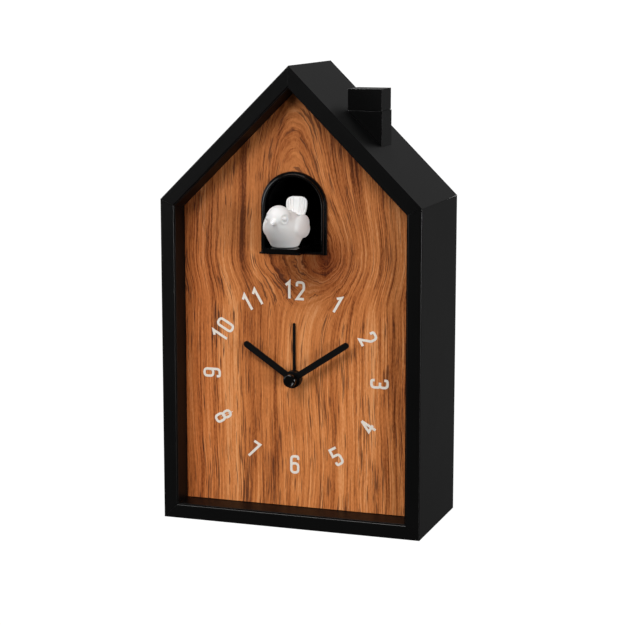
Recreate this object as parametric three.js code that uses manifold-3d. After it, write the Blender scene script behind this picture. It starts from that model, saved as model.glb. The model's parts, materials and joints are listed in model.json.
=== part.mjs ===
// A house-shaped cuckoo alarm clock: a black wooden house case, a wood dial with three hands, and a
// bird that slides out of an arched opening on a rack-driven tray. Millimetres, +Z up, front towards -Y.
// The origin is the centre of the case's underside.
import * as THREE from "three";
import { mergeVertices } from "three/addons/utils/BufferGeometryUtils.js";
import Module from "manifold-3d";

const wasm = await Module();
wasm.setup();

// ---------------------------------------------------------------- driving dimensions

const house = {
  halfWidth: 75,
  eave: 181,
  ridge: 255,
  board: 8,
  front: -36,
  rear: 36,
  glue: 0.1, // gap left at each mitred joint
};
house.slope = (house.ridge - house.eave) / house.halfWidth;
house.slant = Math.hypot(1, house.slope); // roof length per unit of width

const dial = {
  front: -26, // 10 mm behind the front edge of the case
  thickness: 3,
  reveal: 2.3, // space between the dial and the case boards, filled by the carrier's tapered rim
  axisZ: 83.35, // height of the hands' axis
  hole: 4.3,
};
dial.back = dial.front + dial.thickness;

const carrier = {
  front: dial.back + 0.05,
  thickness: 5,
  clearance: 0.2, // between the carrier and the case boards
  rimFront: -35.4, // the rim ends just behind the case's front edge
  rimEdge: 0.4, // thickness of the rim where it ends
  play: 0.1, // between the rim and the dial
};
carrier.back = carrier.front + carrier.thickness;

const arch = {
  centreZ: 178.7, // centre of the round top
  outer: 19, // half width of the rim
  inner: 16, // half width of the opening
  rimBottom: 152.7,
  sill: 154.8,
  rimProud: 2.8,
  ridge: 1.6, // width of the rim's raised inner part
  spigot: 1.4, // wall of the part that plugs into the dial
  fit: 0.3, // clearance round the spigot
};

const tunnel = { inner: 15.8, wall: 1.6, front: dial.back + 0.2, rear: 15, flange: 1.4, fit: 0.3 };
tunnel.floor = arch.sill - tunnel.wall;
tunnel.railWidth = 1.8;

const tray = {
  front: -50,
  rear: -7.5,
  step: -28, // the wide platform ends here and the narrow tongue begins
  halfWidth: 9.4,
  tongue: 5,
  top: 158.4,
  bottom: 156,
  rib: 2,
  ribSetback: 3, // the rib starts this far behind the platform
  lip: 2, // the thin lip round the platform's foot stands out this far
  lipBottom: 155.4,
  lipTop: 156.3,
  slide: 0.05, // clearance between the tray and its rails
  slot: 0.6, // clearance round the tongue where it passes the tunnel's rear wall
};

// The masses that the bird is joined from: their radii and their centres.
const bird = {
  foot: { radius: 7.4, high: 5, y: -41.5 },
  body: { radii: [11.2, 15.5, 9.4], centre: [0, -40.5, 168] },
  breast: { radii: [10, 9, 9], centre: [0, -47, 169.5] },
  head: { radii: [6.8, 7, 6.6], centre: [0, -55, 176] },
  beak: { radius: 1.7, length: 5, tipY: -64, z: 173.6 },
  wing: { radii: [3.4, 11, 7.4], reach: 12.3, y: -37.5, z: 168.4, tilt: -0.2 },
  tail: { halfWidth: 6.3, rear: -22.2, thick: 4.5, low: 171, top: 184 },
};

const rack = {
  module: 0.6,
  teeth: 20, // on the pinion that meets the rack
  depth: 1.35,
  halfWidth: 2.2,
  front: -47.5,
  spaceAtRoot: 0.22, // half width of a tooth space, as a share of the pitch
  spaceAtTip: 0.42,
};
rack.pitch = Math.PI * rack.module;

// The shaft under the bird's tunnel. One turn of its big wheel takes several of the motor's pinion.
const drive = {
  x: 20.2,
  y: -9,
  module: 0.6,
  wheelTeeth: 28,
  pinionTeeth: 12,
  shaft: 1,
  pinionHalf: 1.8,
  wheelHalf: 1.2,
  motorPinionHalf: 1.6,
  boss: 3,
  pinionRoom: 7.4, // half length of the slot in the tunnel's floor
  running: 0.06,
};
drive.z = tray.bottom + rack.module - (rack.module * rack.teeth) / 2;
drive.motorZ = drive.z - (drive.module * (drive.wheelTeeth + drive.pinionTeeth)) / 2;

// Two ears under the tunnel carry the shaft, and the long right one the motor as well.
const ear = {
  left: [-8, -6.2],
  right: [14.2, 16],
  halfDepth: 3,
  drop: 3,
  longHalfDepth: 7,
  longDrop: 6,
};
const gearmotor = { deep: 12, high: 10, boxEnd: 14, boxLength: 9, canLength: 15, shaft: 1.5, boss: 2 };

const movement = {
  size: 56,
  front: dial.back + 0.2,
  rear: -7,
  wall: 1.5,
  cover: 1.4,
  post: 4, // radius of the post through the dial
  pillar: 2,
  pillarReach: 20, // how far the corner pillars stand from the axis, each way
  plate: 23, // half width of the gear plate
};
const arbor = { minute: 1, hour: 1.8, alarm: 2.6, running: 0.06, press: 0.02 };
const train = { module: 0.5, distance: 10, stem: 1.2, pivot: 0.8, play: 0.06 };
const motion = { cannonTeeth: 10, minuteTeeth: 30, pinionTeeth: 8, hourTeeth: 32, alarmTeeth: 32 };
const going = { module: 0.5, wheelTeeth: 32, pinionTeeth: 8 };
going.distance = (going.module * (going.wheelTeeth + going.pinionTeeth)) / 2;

const stepper = { half: 11, front: -15, rear: -9, low: 10.6, high: 6, rimRoom: 0.8, arborRoom: 2.6 };
const coil = { drop: 13.6, y: -12, radius: 2.3, half: 8, cheek: 2.8, cheekThick: 1 };

// Front and rear of each layer of the movement.
const layer = {
  alarmWheel: [-21.1, -20.1],
  hourWheel: [-19.7, -18.7],
  cannon: [-18.3, -16.5],
  minuteWheel: [-17.6, -16.6],
  minutePinion: [-19.9, -17.5],
  alarmPinion: [-21.2, -19.95],
  plate: [-16.2, -15.2],
  centreWheel: [-14.6, -13.6],
  thirdPinion: [-15, -12.9],
  thirdWheel: [-13, -12],
};

// x and z of the movement's other axes.
const axis = {
  minute: [train.distance, dial.axisZ],
  alarm: [-train.distance, dial.axisZ],
  third: [0, dial.axisZ - going.distance],
};

// Front and rear of each layer of the hands.
const stack = {
  alarmHand: [-27, -26.4],
  hourHand: [-30, -29.2],
  minuteHand: [-31.2, -30.4],
  cap: [-35.4, -31.4],
};
const hub = { radius: 4.8, cap: 3.6, capBevel: 0.5 };
const degrees = Math.PI / 180;

// The hands' angles run clockwise from twelve. They are set for looks, as on a clock in a shop.
const handSet = [
  {
    name: "alarm_hand",
    angle: 0,
    length: 31,
    width: 1.5,
    bore: arbor.alarm,
    blade: stack.alarmHand,
    hubLayer: [stack.alarmHand[0] - 1.6, stack.alarmHand[1]],
  },
  {
    name: "hour_hand",
    angle: -56 * degrees,
    length: 34,
    width: 3.6,
    bore: arbor.hour,
    blade: stack.hourHand,
    hubLayer: [stack.hourHand[0], stack.hourHand[1] + 0.3],
  },
  {
    name: "minute_hand",
    angle: 56.2 * degrees,
    length: 39.2,
    width: 3.6,
    bore: arbor.minute,
    blade: stack.minuteHand,
    hubLayer: [stack.minuteHand[0], stack.minuteHand[1] + 0.2],
  },
];

const rearCover = { front: 27, rear: 30, clearance: 0.3 };
const knob = { radius: 7.5, front: 30.6, rear: 35.4, flutes: 16, fluteDepth: 0.6, socket: 2 };
const cleat = { width: 9, front: 15, low: 20, high: 166 };
const screw = { x: 62, lowZ: 26, highZ: 158, shank: 1.4, head: 3, headHigh: 1.6, length: 10 };
const crossSlot = { half: 1.8, halfWidth: 0.35, floor: 0.8 };

const cell = { radius: 7.1, length: 50.5, nub: 2.6, nubLength: 1.2, pitch: 15, y: 19.5, lowZ: 24 };
const bay = { halfWidth: 29, wall: 1.5, front: 12, low: 16, high: 62 };
const door = {
  thickness: 2.4,
  setback: 0.3, // of the door's outside from the rear cover's
  gap: 0.1,
  pivot: 0.6,
  pivotY: 29.2,
  pivotZ: 16.7,
  pivotReach: 1.1,
};
const grip = { drop: 8, pitch: 3, half: 6, halfWidth: 0.6, depth: 0.5 };

// Each contact is one strip of sheet, with a spring wherever a cell's flat end sits against it.
const contact = { plate: 0.4, half: 5, springGap: 6, turns: 3, wide: 4, narrow: 2.4, wire: 0.4 };
const contactStrips = [
  ["contact_left_single", -1, [0]],
  ["contact_left_double", -1, [1, 2]],
  ["contact_right_double", 1, [0, 1]],
  ["contact_right_single", 1, [2]],
];

const chimney = {
  left: 25,
  right: 44.8,
  front: -10.7,
  rear: 7.2,
  seam: 229.8,
  top: 241.9,
  inset: 0.3,
  gap: 0.5, // room for the button's travel of 0.25
  wall: 1.1,
  crown: 2.3, // thickness of the button's top
  neckPlay: 0.4, // between the button's walls and the neck inside it
  neckHigh: 5,
  film: 0.05, // glue between the block and the roof
};
const buttonStem = { x: 35.2, y: -1.75, radius: 2, end: 205.4, roofRoom: 0.4, baseRoom: 0.3 };
const buttonSpring = { seat: 226, radius: 2.9, room: 0.8, turns: 5, wire: 0.35, endRoom: 0.5 };
const snooze = {
  plungerTop: 204.95,
  plunger: 1.2,
  body: 203.4,
  low: 195,
  halfX: 7,
  halfY: 6,
  cheek: 1.8,
};

const speaker = {
  x: -42,
  z: 118,
  radius: 14,
  front: 18,
  slots: [-8, -4, 0, 4, 8], // heights of the slots in front of it, from its middle
  slotHalf: 1,
  margin: 2,
};
// Radius and height of the speaker's outline, from its magnet to its cone.
const speakerOutline = [
  [0, 0],
  [5.5, 0],
  [5.5, 4],
  [speaker.radius - 3, 6],
  [speaker.radius, 6],
  [speaker.radius, 8.8],
  [speaker.radius - 1.5, 8.8],
  [speaker.radius - 2.5, 7.2],
  [4, 6],
  [0, 6.8],
];

const circuit = { left: 28, right: 53, low: 83, high: 141, front: 16, rear: 17.6 };
const chip = { left: 36, right: 44, low: 107, high: 117, thick: 2 };
const controls = { x: 42, bodyRear: 4 }; // the switches and the test button stand in one column
const slider = {
  travel: 5,
  wide: 3.6,
  high: 3,
  slotHigh: 3.4,
  tip: 31.6,
  bodyHalf: [7, 3.5],
  alarmZ: 112,
  chimeZ: 98,
};
const testButton = { z: 130, radius: 3.2, collar: 4.2, push: 1.5, tip: 32, bodyHalf: 4 };

// ---------------------------------------------------------------- shape helpers

const TURN = 2 * Math.PI;
const SMALL = 16; // sides of a small turned piece
const ROUND = 20; // sides of a turned piece
const FINE = 28; // sides of a large turned piece
const PAST = 1; // how far a cutting tool runs past the piece it cuts

// Axes of a shape drawn flat and extruded: across the page, up the page, and along the extrusion.
const facingFront = new THREE.Matrix4().makeBasis(
  new THREE.Vector3(1, 0, 0),
  new THREE.Vector3(0, 0, 1),
  new THREE.Vector3(0, -1, 0),
);
const facingSide = new THREE.Matrix4().makeBasis(
  new THREE.Vector3(0, 1, 0),
  new THREE.Vector3(0, 0, 1),
  new THREE.Vector3(1, 0, 0),
);

function solid(geometry) {
  const bare = geometry.clone();
  bare.deleteAttribute("normal");
  bare.deleteAttribute("uv");
  const merged = mergeVertices(bare, 1e-4);
  const vertProperties = merged.attributes.position.array;
  const triVerts = new Uint32Array(merged.index.array);
  return new wasm.Manifold(new wasm.Mesh({ numProp: 3, vertProperties, triVerts }));
}

function geometryOf(made) {
  const { vertProperties, triVerts } = made.getMesh();
  const geometry = new THREE.BufferGeometry();
  geometry.setAttribute("position", new THREE.BufferAttribute(vertProperties, 3));
  geometry.setIndex(new THREE.BufferAttribute(triVerts, 1));
  return geometry;
}

function join(first, ...others) {
  const sum = others.reduce((whole, next) => whole.add(solid(next)), solid(first));
  return geometryOf(sum);
}

function cut(first, ...others) {
  const rest = others.reduce((whole, next) => whole.subtract(solid(next)), solid(first));
  return geometryOf(rest);
}

function common(first, second) {
  return geometryOf(solid(first).intersect(solid(second)));
}

// A box between two values on each axis.
function block([x0, x1], [y0, y1], [z0, z1]) {
  const geometry = new THREE.BoxGeometry(x1 - x0, y1 - y0, z1 - z0);
  return geometry.translate((x0 + x1) / 2, (y0 + y1) / 2, (z0 + z1) / 2);
}

// An outline in x and z, extruded between two y values.
function frontPrism(shape, y0, y1) {
  const geometry = new THREE.ExtrudeGeometry(shape, { depth: y1 - y0, bevelEnabled: false });
  return geometry.applyMatrix4(facingFront).translate(0, y1, 0);
}

// An outline in y and z, extruded between two x values.
function sidePrism(shape, x0, x1) {
  const geometry = new THREE.ExtrudeGeometry(shape, { depth: x1 - x0, bevelEnabled: false });
  return geometry.applyMatrix4(facingSide).translate(x0, 0, 0);
}

function rodY(radius, y0, y1, x, z, sides = ROUND) {
  const geometry = new THREE.CylinderGeometry(radius, radius, y1 - y0, sides);
  return geometry.translate(x, (y0 + y1) / 2, z);
}

function rodX(radius, x0, x1, y, z, sides = ROUND) {
  const geometry = new THREE.CylinderGeometry(radius, radius, x1 - x0, sides);
  return geometry.rotateZ(Math.PI / 2).translate((x0 + x1) / 2, y, z);
}

function rodZ(radius, z0, z1, x, y, sides = ROUND) {
  const geometry = new THREE.CylinderGeometry(radius, radius, z1 - z0, sides);
  return geometry.rotateX(Math.PI / 2).translate(x, y, (z0 + z1) / 2);
}

function outline(points) {
  return new THREE.Shape(points.map(([across, up]) => new THREE.Vector2(across, up)));
}

// Height of the roof's outer surface, and of a surface parallel to it at a depth below.
function roofZ(x, depth = 0) {
  return house.ridge - depth * house.slant - house.slope * Math.abs(x);
}

// The five-sided house outline, set in from the outside of the case by a uniform inset.
function houseOutline(inset) {
  const side = house.halfWidth - inset;
  return outline([
    [-side, inset],
    [side, inset],
    [side, roofZ(side, inset)],
    [0, roofZ(0, inset)],
    [-side, roofZ(side, inset)],
  ]);
}

// A solid that tapers between two house outlines, each given as its inset and its y value.
function houseTaper([inset0, y0], [inset1, y1]) {
  const rings = [
    [inset0, y0],
    [inset1, y1],
  ].map(([inset, y]) => houseOutline(inset).getPoints().map((point) => [point.x, y, point.y]));
  const sides = rings[0].length;
  const faces = [];
  for (let i = 1; i < sides - 1; i += 1) {
    faces.push([0, i, i + 1], [sides, sides + i + 1, sides + i]);
  }
  for (let i = 0; i < sides; i += 1) {
    const next = (i + 1) % sides;
    faces.push([i, sides + i, sides + next], [i, sides + next, next]);
  }
  const geometry = new THREE.BufferGeometry();
  geometry.setAttribute("position", new THREE.Float32BufferAttribute(rings.flat(2), 3));
  geometry.setIndex(faces.flat());
  return geometry;
}

// A round-topped arch: straight sides up to the arch's centre height, then a half circle.
function archOutline(halfWidth, bottom, segments = 20) {
  const points = [
    [-halfWidth, bottom],
    [halfWidth, bottom],
  ];
  for (let i = 0; i <= segments; i += 1) {
    const angle = (Math.PI * i) / segments;
    points.push([halfWidth * Math.cos(angle), arch.centreZ + halfWidth * Math.sin(angle)]);
  }
  return outline(points);
}

// Slim straight-sided gear teeth. The angle runs from up the page, clockwise on it, and one tooth
// stands at the phase angle.
function gearOutline(teeth, module, phase = 0) {
  const pitch = TURN / teeth;
  const root = (module * teeth) / 2 - 1.15 * module;
  const tip = (module * teeth) / 2 + 0.85 * module;
  const flanks = [
    [-0.3, root],
    [-0.11, tip],
    [0.11, tip],
    [0.3, root],
  ];
  const points = [];
  for (let i = 0; i < teeth; i += 1) {
    for (const [share, radius] of flanks) {
      const angle = phase + (i + share) * pitch;
      points.push([radius * Math.sin(angle), radius * Math.cos(angle)]);
    }
  }
  return outline(points.reverse());
}

function frontGear(teeth, module, [y0, y1], x, z, phase = 0) {
  return frontPrism(gearOutline(teeth, module, phase), y0, y1).translate(x, 0, z);
}

function sideGear(teeth, module, [x0, x1], y, z, phase = 0) {
  return sidePrism(gearOutline(teeth, module, phase), x0, x1).translate(0, y, z);
}

// A wire wound along an axis as a spring. The radius may change from one end to the other.
function springGeometry({ turns, from, to, startRadius, endRadius, wire, place, steps = 8 }) {
  const points = [];
  for (let i = 0; i <= turns * steps; i += 1) {
    const share = i / (turns * steps);
    const angle = TURN * turns * share;
    const radius = startRadius + (endRadius - startRadius) * share;
    const along = from + (to - from) * share;
    points.push(place(radius * Math.cos(angle), radius * Math.sin(angle), along));
  }
  const section = new THREE.Shape();
  section.absarc(0, 0, wire, 0, TURN, false);
  return new THREE.ExtrudeGeometry(section, {
    steps: turns * steps,
    curveSegments: 3,
    extrudePath: new THREE.CatmullRomCurve3(points),
    bevelEnabled: false,
  });
}

// ---------------------------------------------------------------- materials and the group

const finishes = {
  blackPaint: { color: 0x17171a, roughness: 0.42, metalness: 0 },
  wood: { color: 0xb9703f, roughness: 0.55, metalness: 0 },
  pine: { color: 0xcaa678, roughness: 0.75, metalness: 0 },
  blackPlastic: { color: 0x0c0c0d, roughness: 0.3, metalness: 0 },
  mattePlastic: { color: 0x1b1b1d, roughness: 0.6, metalness: 0 },
  whitePlastic: { color: 0xf1ece3, roughness: 0.45, metalness: 0 },
  greyPlastic: { color: 0xb8b6ae, roughness: 0.5, metalness: 0 },
  clearWhite: { color: 0xdcdad2, roughness: 0.4, metalness: 0 },
  brass: { color: 0xc9a24a, roughness: 0.35, metalness: 1 },
  steel: { color: 0xb9bcc0, roughness: 0.35, metalness: 1 },
  copper: { color: 0xb5683a, roughness: 0.45, metalness: 0.8 },
  circuit: { color: 0x1d5a35, roughness: 0.5, metalness: 0 },
  cellWrap: { color: 0x3a6ea5, roughness: 0.4, metalness: 0.3 },
};

const clock = new THREE.Group();

function add(name, geometry, finish) {
  const mesh = new THREE.Mesh(geometry, new THREE.MeshStandardMaterial(finishes[finish]));
  mesh.name = name;
  clock.add(mesh);
}

// ---------------------------------------------------------------- case

// Each board is cut to mitred ends that meet the next board along the corner's bisector.
function caseBoards() {
  const { halfWidth, board: thick, eave, glue } = house;
  const inside = halfWidth - thick;
  const innerEave = roofZ(inside, thick);
  const [y0, y1] = [house.front, house.rear];
  const floor = outline([
    [-halfWidth + glue, 0],
    [halfWidth - glue, 0],
    [inside - glue, thick],
    [-inside + glue, thick],
  ]);
  add("floor_panel", frontPrism(floor, y0, y1), "blackPaint");

  const wall = outline([
    [halfWidth, glue],
    [halfWidth, eave - glue],
    [inside, innerEave - glue],
    [inside, thick + glue],
  ]);
  const slip = glue / house.slant;
  const roof = outline([
    [halfWidth - slip, roofZ(halfWidth - slip)],
    [glue / 2, roofZ(glue / 2)],
    [glue / 2, roofZ(glue / 2, thick)],
    [inside - slip, roofZ(inside - slip, thick)],
  ]);
  add("wall_right", frontPrism(wall, y0, y1), "blackPaint");
  add("wall_left", mirrored(frontPrism(wall, y0, y1)), "blackPaint");
  const { x, y, radius, roofRoom } = buttonStem;
  const stemHole = rodZ(radius + roofRoom, roofZ(x, 2 * thick), house.ridge, x, y);
  add("roof_right", cut(frontPrism(roof, y0, y1), stemHole), "blackPaint");
  add("roof_left", mirrored(frontPrism(roof, y0, y1)), "blackPaint");
}

// The same geometry on the other side of the clock, with its faces turned back outwards.
function mirrored(geometry) {
  const flipped = geometry.index ? geometry.toNonIndexed() : geometry.clone();
  const position = flipped.attributes.position;
  for (let i = 0; i < position.count; i += 3) {
    const corners = [0, 1, 2].map((k) => new THREE.Vector3().fromBufferAttribute(position, i + k));
    corners.reverse().forEach((corner, k) => position.setXYZ(i + k, -corner.x, corner.y, corner.z));
  }
  return flipped;
}

// Battens glued to the walls, into which the rear cover is screwed.
function cleats() {
  const outer = house.halfWidth - house.board - house.glue;
  const [y0, y1] = [cleat.front, rearCover.front - house.glue];
  const batten = block([outer - cleat.width, outer], [y0, y1], [cleat.low, cleat.high]);
  const bores = [screw.lowZ, screw.highZ].map((z) =>
    rodY(screw.shank + 0.05, y1 - screw.length, y1 + PAST, screw.x, z),
  );
  const drilled = cut(batten, ...bores);
  add("cleat_right", drilled, "pine");
  add("cleat_left", mirrored(drilled), "pine");
}

// ---------------------------------------------------------------- chimney and snooze button

function chimneyPieces() {
  const { left, right, front, rear, seam, top, film } = chimney;
  const { inset, gap, wall, crown, neckPlay, neckHigh } = chimney;
  const leftFoot = (house.ridge - seam) / house.slope;
  const wedge = outline([
    [Math.max(left, leftFoot) + film, seam],
    [right, roofZ(right) + film],
    [right, seam],
  ]);
  const wedgeSolid = frontPrism(wedge, front, rear);
  const margin = inset + wall + neckPlay;
  const neck = block(
    [left + margin, right - margin],
    [front + margin, rear - margin],
    [seam - PAST, seam + neckHigh],
  );
  const roofSide = frontPrism(
    outline([
      [left - PAST, roofZ(left - PAST) + film],
      [left - PAST, roofZ(right) - PAST],
      [right + PAST, roofZ(right) - PAST],
      [right + PAST, roofZ(right + PAST) + film],
    ]),
    front - PAST,
    rear + PAST,
  );
  const { x, y, radius } = buttonStem;
  const stemBore = rodZ(radius + buttonStem.baseRoom, roofZ(right) - PAST, top, x, y);
  const springBore = rodZ(buttonSpring.radius + buttonSpring.room, buttonSpring.seat, top, x, y);
  const base = cut(join(wedgeSolid, cut(neck, roofSide)), stemBore, springBore);
  add("chimney_base", base, "blackPaint");

  const low = seam + gap;
  const shell = block([left + inset, right - inset], [front + inset, rear - inset], [low, top]);
  const skin = inset + wall;
  const hollow = block(
    [left + skin, right - skin],
    [front + skin, rear - skin],
    [low - PAST, top - crown],
  );
  const rod = rodZ(radius, buttonStem.end, top - crown / 2, x, y);
  add("chimney_button", join(cut(shell, hollow), rod), "blackPaint");

  const spring = springGeometry({
    turns: buttonSpring.turns,
    from: buttonSpring.seat + buttonSpring.endRoom,
    to: top - crown - buttonSpring.endRoom,
    startRadius: buttonSpring.radius,
    endRadius: buttonSpring.radius,
    wire: buttonSpring.wire,
    place: (a, b, along) => new THREE.Vector3(x + a, y + b, along),
  });
  add("button_spring", spring, "steel");
}

// The snooze switch in its holder, which is glued under the roof board.
function snoozeSwitch() {
  const { x, y } = buttonStem;
  const underside = (across) => roofZ(across, house.board) - house.glue;
  const [x0, x1] = [x - snooze.halfX, x + snooze.halfX];
  const [y0, y1] = [y - snooze.halfY, y + snooze.halfY];
  const side = outline([
    [x0, snooze.low],
    [x1, snooze.low],
    [x1, underside(x1)],
    [x0, underside(x0)],
  ]);
  const well = block(
    [x0 - PAST, x1 + PAST],
    [y0 + snooze.cheek, y1 - snooze.cheek],
    [snooze.body, house.ridge],
  );
  const plunger = rodZ(snooze.plunger, snooze.body - PAST, snooze.plungerTop, x, y, SMALL);
  add("snooze_switch", join(cut(frontPrism(side, y0, y1), well), plunger), "mattePlastic");
}

// ---------------------------------------------------------------- dial and arched opening

// The dial, and the plate behind it, whose tapered rim frames the dial and reaches forward to the edge
// of the case.
function dialPieces() {
  const inset = house.board + dial.reveal;
  const past = [dial.front - PAST, dial.back + PAST];
  const face = frontPrism(houseOutline(inset), dial.front, dial.back);
  const room = arch.spigot + arch.fit;
  const archCut = frontPrism(archOutline(arch.inner + room, arch.sill - room), ...past);
  const axisHole = rodY(dial.hole, ...past, 0, dial.axisZ);
  add("dial_board", cut(face, archCut, axisHole), "wood");

  const edge = house.board + carrier.clearance;
  const blank = frontPrism(houseOutline(edge), carrier.rimFront, carrier.back);
  const mouth = edge + carrier.rimEdge;
  const seat = inset - carrier.play;
  const slope = (seat - mouth) / (dial.front - carrier.rimFront);
  const taper = houseTaper([mouth - slope * PAST, carrier.rimFront - PAST], [seat, dial.front]);
  const pocket = frontPrism(houseOutline(seat), dial.front - house.glue, carrier.front);
  const half = movement.size / 2 + 0.6;
  const window = block(
    [-half, half],
    [carrier.front - PAST, carrier.back + PAST],
    [dial.axisZ - half, dial.axisZ + half],
  );
  const tunnelHole = archOutline(tunnel.inner + tunnel.wall + tunnel.fit, tunnel.floor - tunnel.fit);
  const tunnelCut = frontPrism(tunnelHole, carrier.front - PAST, carrier.back + PAST);
  add("dial_carrier", cut(blank, taper, pocket, window, tunnelCut), "mattePlastic");
}

function nicheBezel() {
  const face = dial.front - 0.05;
  const mid = face - arch.rimProud / 2;
  const broad = frontPrism(archOutline(arch.outer, arch.rimBottom), mid, face);
  const raised = archOutline(arch.inner + arch.ridge, arch.sill - 1.2);
  const ridge = frontPrism(raised, face - arch.rimProud, mid + 0.5);
  const plug = archOutline(arch.inner + arch.spigot, arch.sill - arch.spigot);
  const spigot = frontPrism(plug, face - 0.5, dial.back);
  const opening = frontPrism(
    archOutline(arch.inner, arch.sill),
    face - arch.rimProud - PAST,
    dial.back + PAST,
  );
  add("niche_bezel", cut(join(broad, ridge, spigot), opening), "blackPlastic");
}

// The dark tunnel behind the opening, closed at its rear apart from the slot for the tray's tongue,
// which slides on two rails. Two ears under the floor carry the drive shaft, and the longer one the
// gear motor.
function nicheTunnel() {
  const { inner, wall, front, rear, floor } = tunnel;
  const { y, z, motorZ } = drive;
  const tube = frontPrism(archOutline(inner + wall, floor), front, rear);
  const rim = archOutline(inner + wall + tunnel.flange, floor - 4);
  const flange = frontPrism(rim, carrier.back + house.glue, carrier.back + wall);
  const sunk = floor + 0.5; // rails and ears are sunk this far into the floor
  const rails = [-1, 1].map((side) => {
    const edges = [side * (tray.tongue - tunnel.railWidth), side * tray.tongue].sort((a, b) => a - b);
    return block(edges, [front, rear - wall / 2], [sunk, tray.lipBottom - tray.slide]);
  });
  const inside = frontPrism(archOutline(inner, arch.sill), front - PAST, rear - wall);
  const across = [ear.left[0] - PAST, ear.right[1] + PAST];
  const shaftHoles = rodX(drive.shaft + drive.running, ...across, y, z);
  const motorHole = rodX(gearmotor.shaft + 0.3, ear.right[0] - PAST, across[1], y, motorZ);
  const leftEar = block(ear.left, [y - ear.halfDepth, y + ear.halfDepth], [z - ear.drop, sunk]);
  const rightEar = block(
    ear.right,
    [y - ear.longHalfDepth, y + ear.longHalfDepth],
    [motorZ - ear.longDrop, sunk],
  );
  const slotHalf = drive.pinionHalf + 0.8;
  const pinionSlot = block(
    [-slotHalf, slotHalf],
    [y - drive.pinionRoom, y + drive.pinionRoom],
    [floor - PAST, arch.sill + PAST],
  );
  const tongueSlot = block(
    [-tray.tongue - tray.slot, tray.tongue + tray.slot],
    [rear - 2 * wall, rear + PAST],
    [tray.lipBottom - tray.slide, tray.top + tray.rib + tray.slot],
  );
  const shell = cut(join(tube, flange, leftEar, rightEar), inside);
  const railed = join(shell, ...rails);
  add("niche_tunnel", cut(railed, shaftHoles, motorHole, pinionSlot, tongueSlot), "mattePlastic");
}

// ---------------------------------------------------------------- bird on its tray

// The tray is a platform with a narrower tongue behind it. Rack teeth are cut into its underside.
function birdTray() {
  const { front, rear, step, halfWidth, top, bottom, lipBottom } = tray;
  const platform = block([-halfWidth, halfWidth], [front, step], [bottom, top]);
  const foot = halfWidth + tray.lip;
  const lip = block([-foot, foot], [front, step], [lipBottom, tray.lipTop]);
  const tongue = block([-tray.tongue, tray.tongue], [step - PAST, rear], [lipBottom, top]);
  const rib = block(
    [-tray.tongue, tray.tongue],
    [step + tray.ribSetback, rear],
    [top - 0.5, top + tray.rib],
  );
  const { pitch, depth, spaceAtRoot, spaceAtTip } = rack;
  const strip = [-rack.halfWidth, rack.halfWidth];
  const spaces = [block(strip, [rack.front, rear + PAST], [lipBottom - PAST, bottom])];
  const first = Math.ceil((rack.front - drive.y) / pitch);
  const last = Math.ceil((rear - drive.y) / pitch);
  for (let i = first; i <= last; i += 1) {
    const y = drive.y + i * pitch;
    const space = outline([
      [y - spaceAtTip * pitch, bottom - 0.3],
      [y + spaceAtTip * pitch, bottom - 0.3],
      [y + spaceAtRoot * pitch, bottom + depth],
      [y - spaceAtRoot * pitch, bottom + depth],
    ]);
    spaces.push(sidePrism(space, ...strip));
  }
  add("bird_tray", cut(join(platform, lip, tongue, rib), ...spaces), "blackPlastic");
}

function egg({ radii, centre, tilt = 0 }) {
  const geometry = new THREE.SphereGeometry(1, 14, 8);
  return geometry
    .scale(...radii)
    .rotateX(tilt)
    .translate(...centre);
}

function birdBody() {
  const { foot, beak, wing, tail } = bird;
  const stand = rodZ(foot.radius, tray.top + 0.05, tray.top + foot.high, 0, foot.y);
  const bill = new THREE.ConeGeometry(beak.radius, beak.length, 10)
    .rotateX(Math.PI)
    .translate(0, beak.tipY + beak.length / 2, beak.z);
  const wings = [-1, 1].map((side) => {
    const x = side * (wing.reach - wing.radii[0]);
    return egg({ radii: wing.radii, centre: [x, wing.y, wing.z], tilt: wing.tilt });
  });
  const fan = block(
    [-tail.halfWidth, tail.halfWidth],
    [tail.rear - tail.thick, tail.rear],
    [tail.low, tail.top],
  );
  const masses = [bird.body, bird.breast, bird.head].map(egg);
  add("bird", join(stand, ...masses, bill, ...wings, fan), "whitePlastic");
}

// ---------------------------------------------------------------- bird drive

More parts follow.
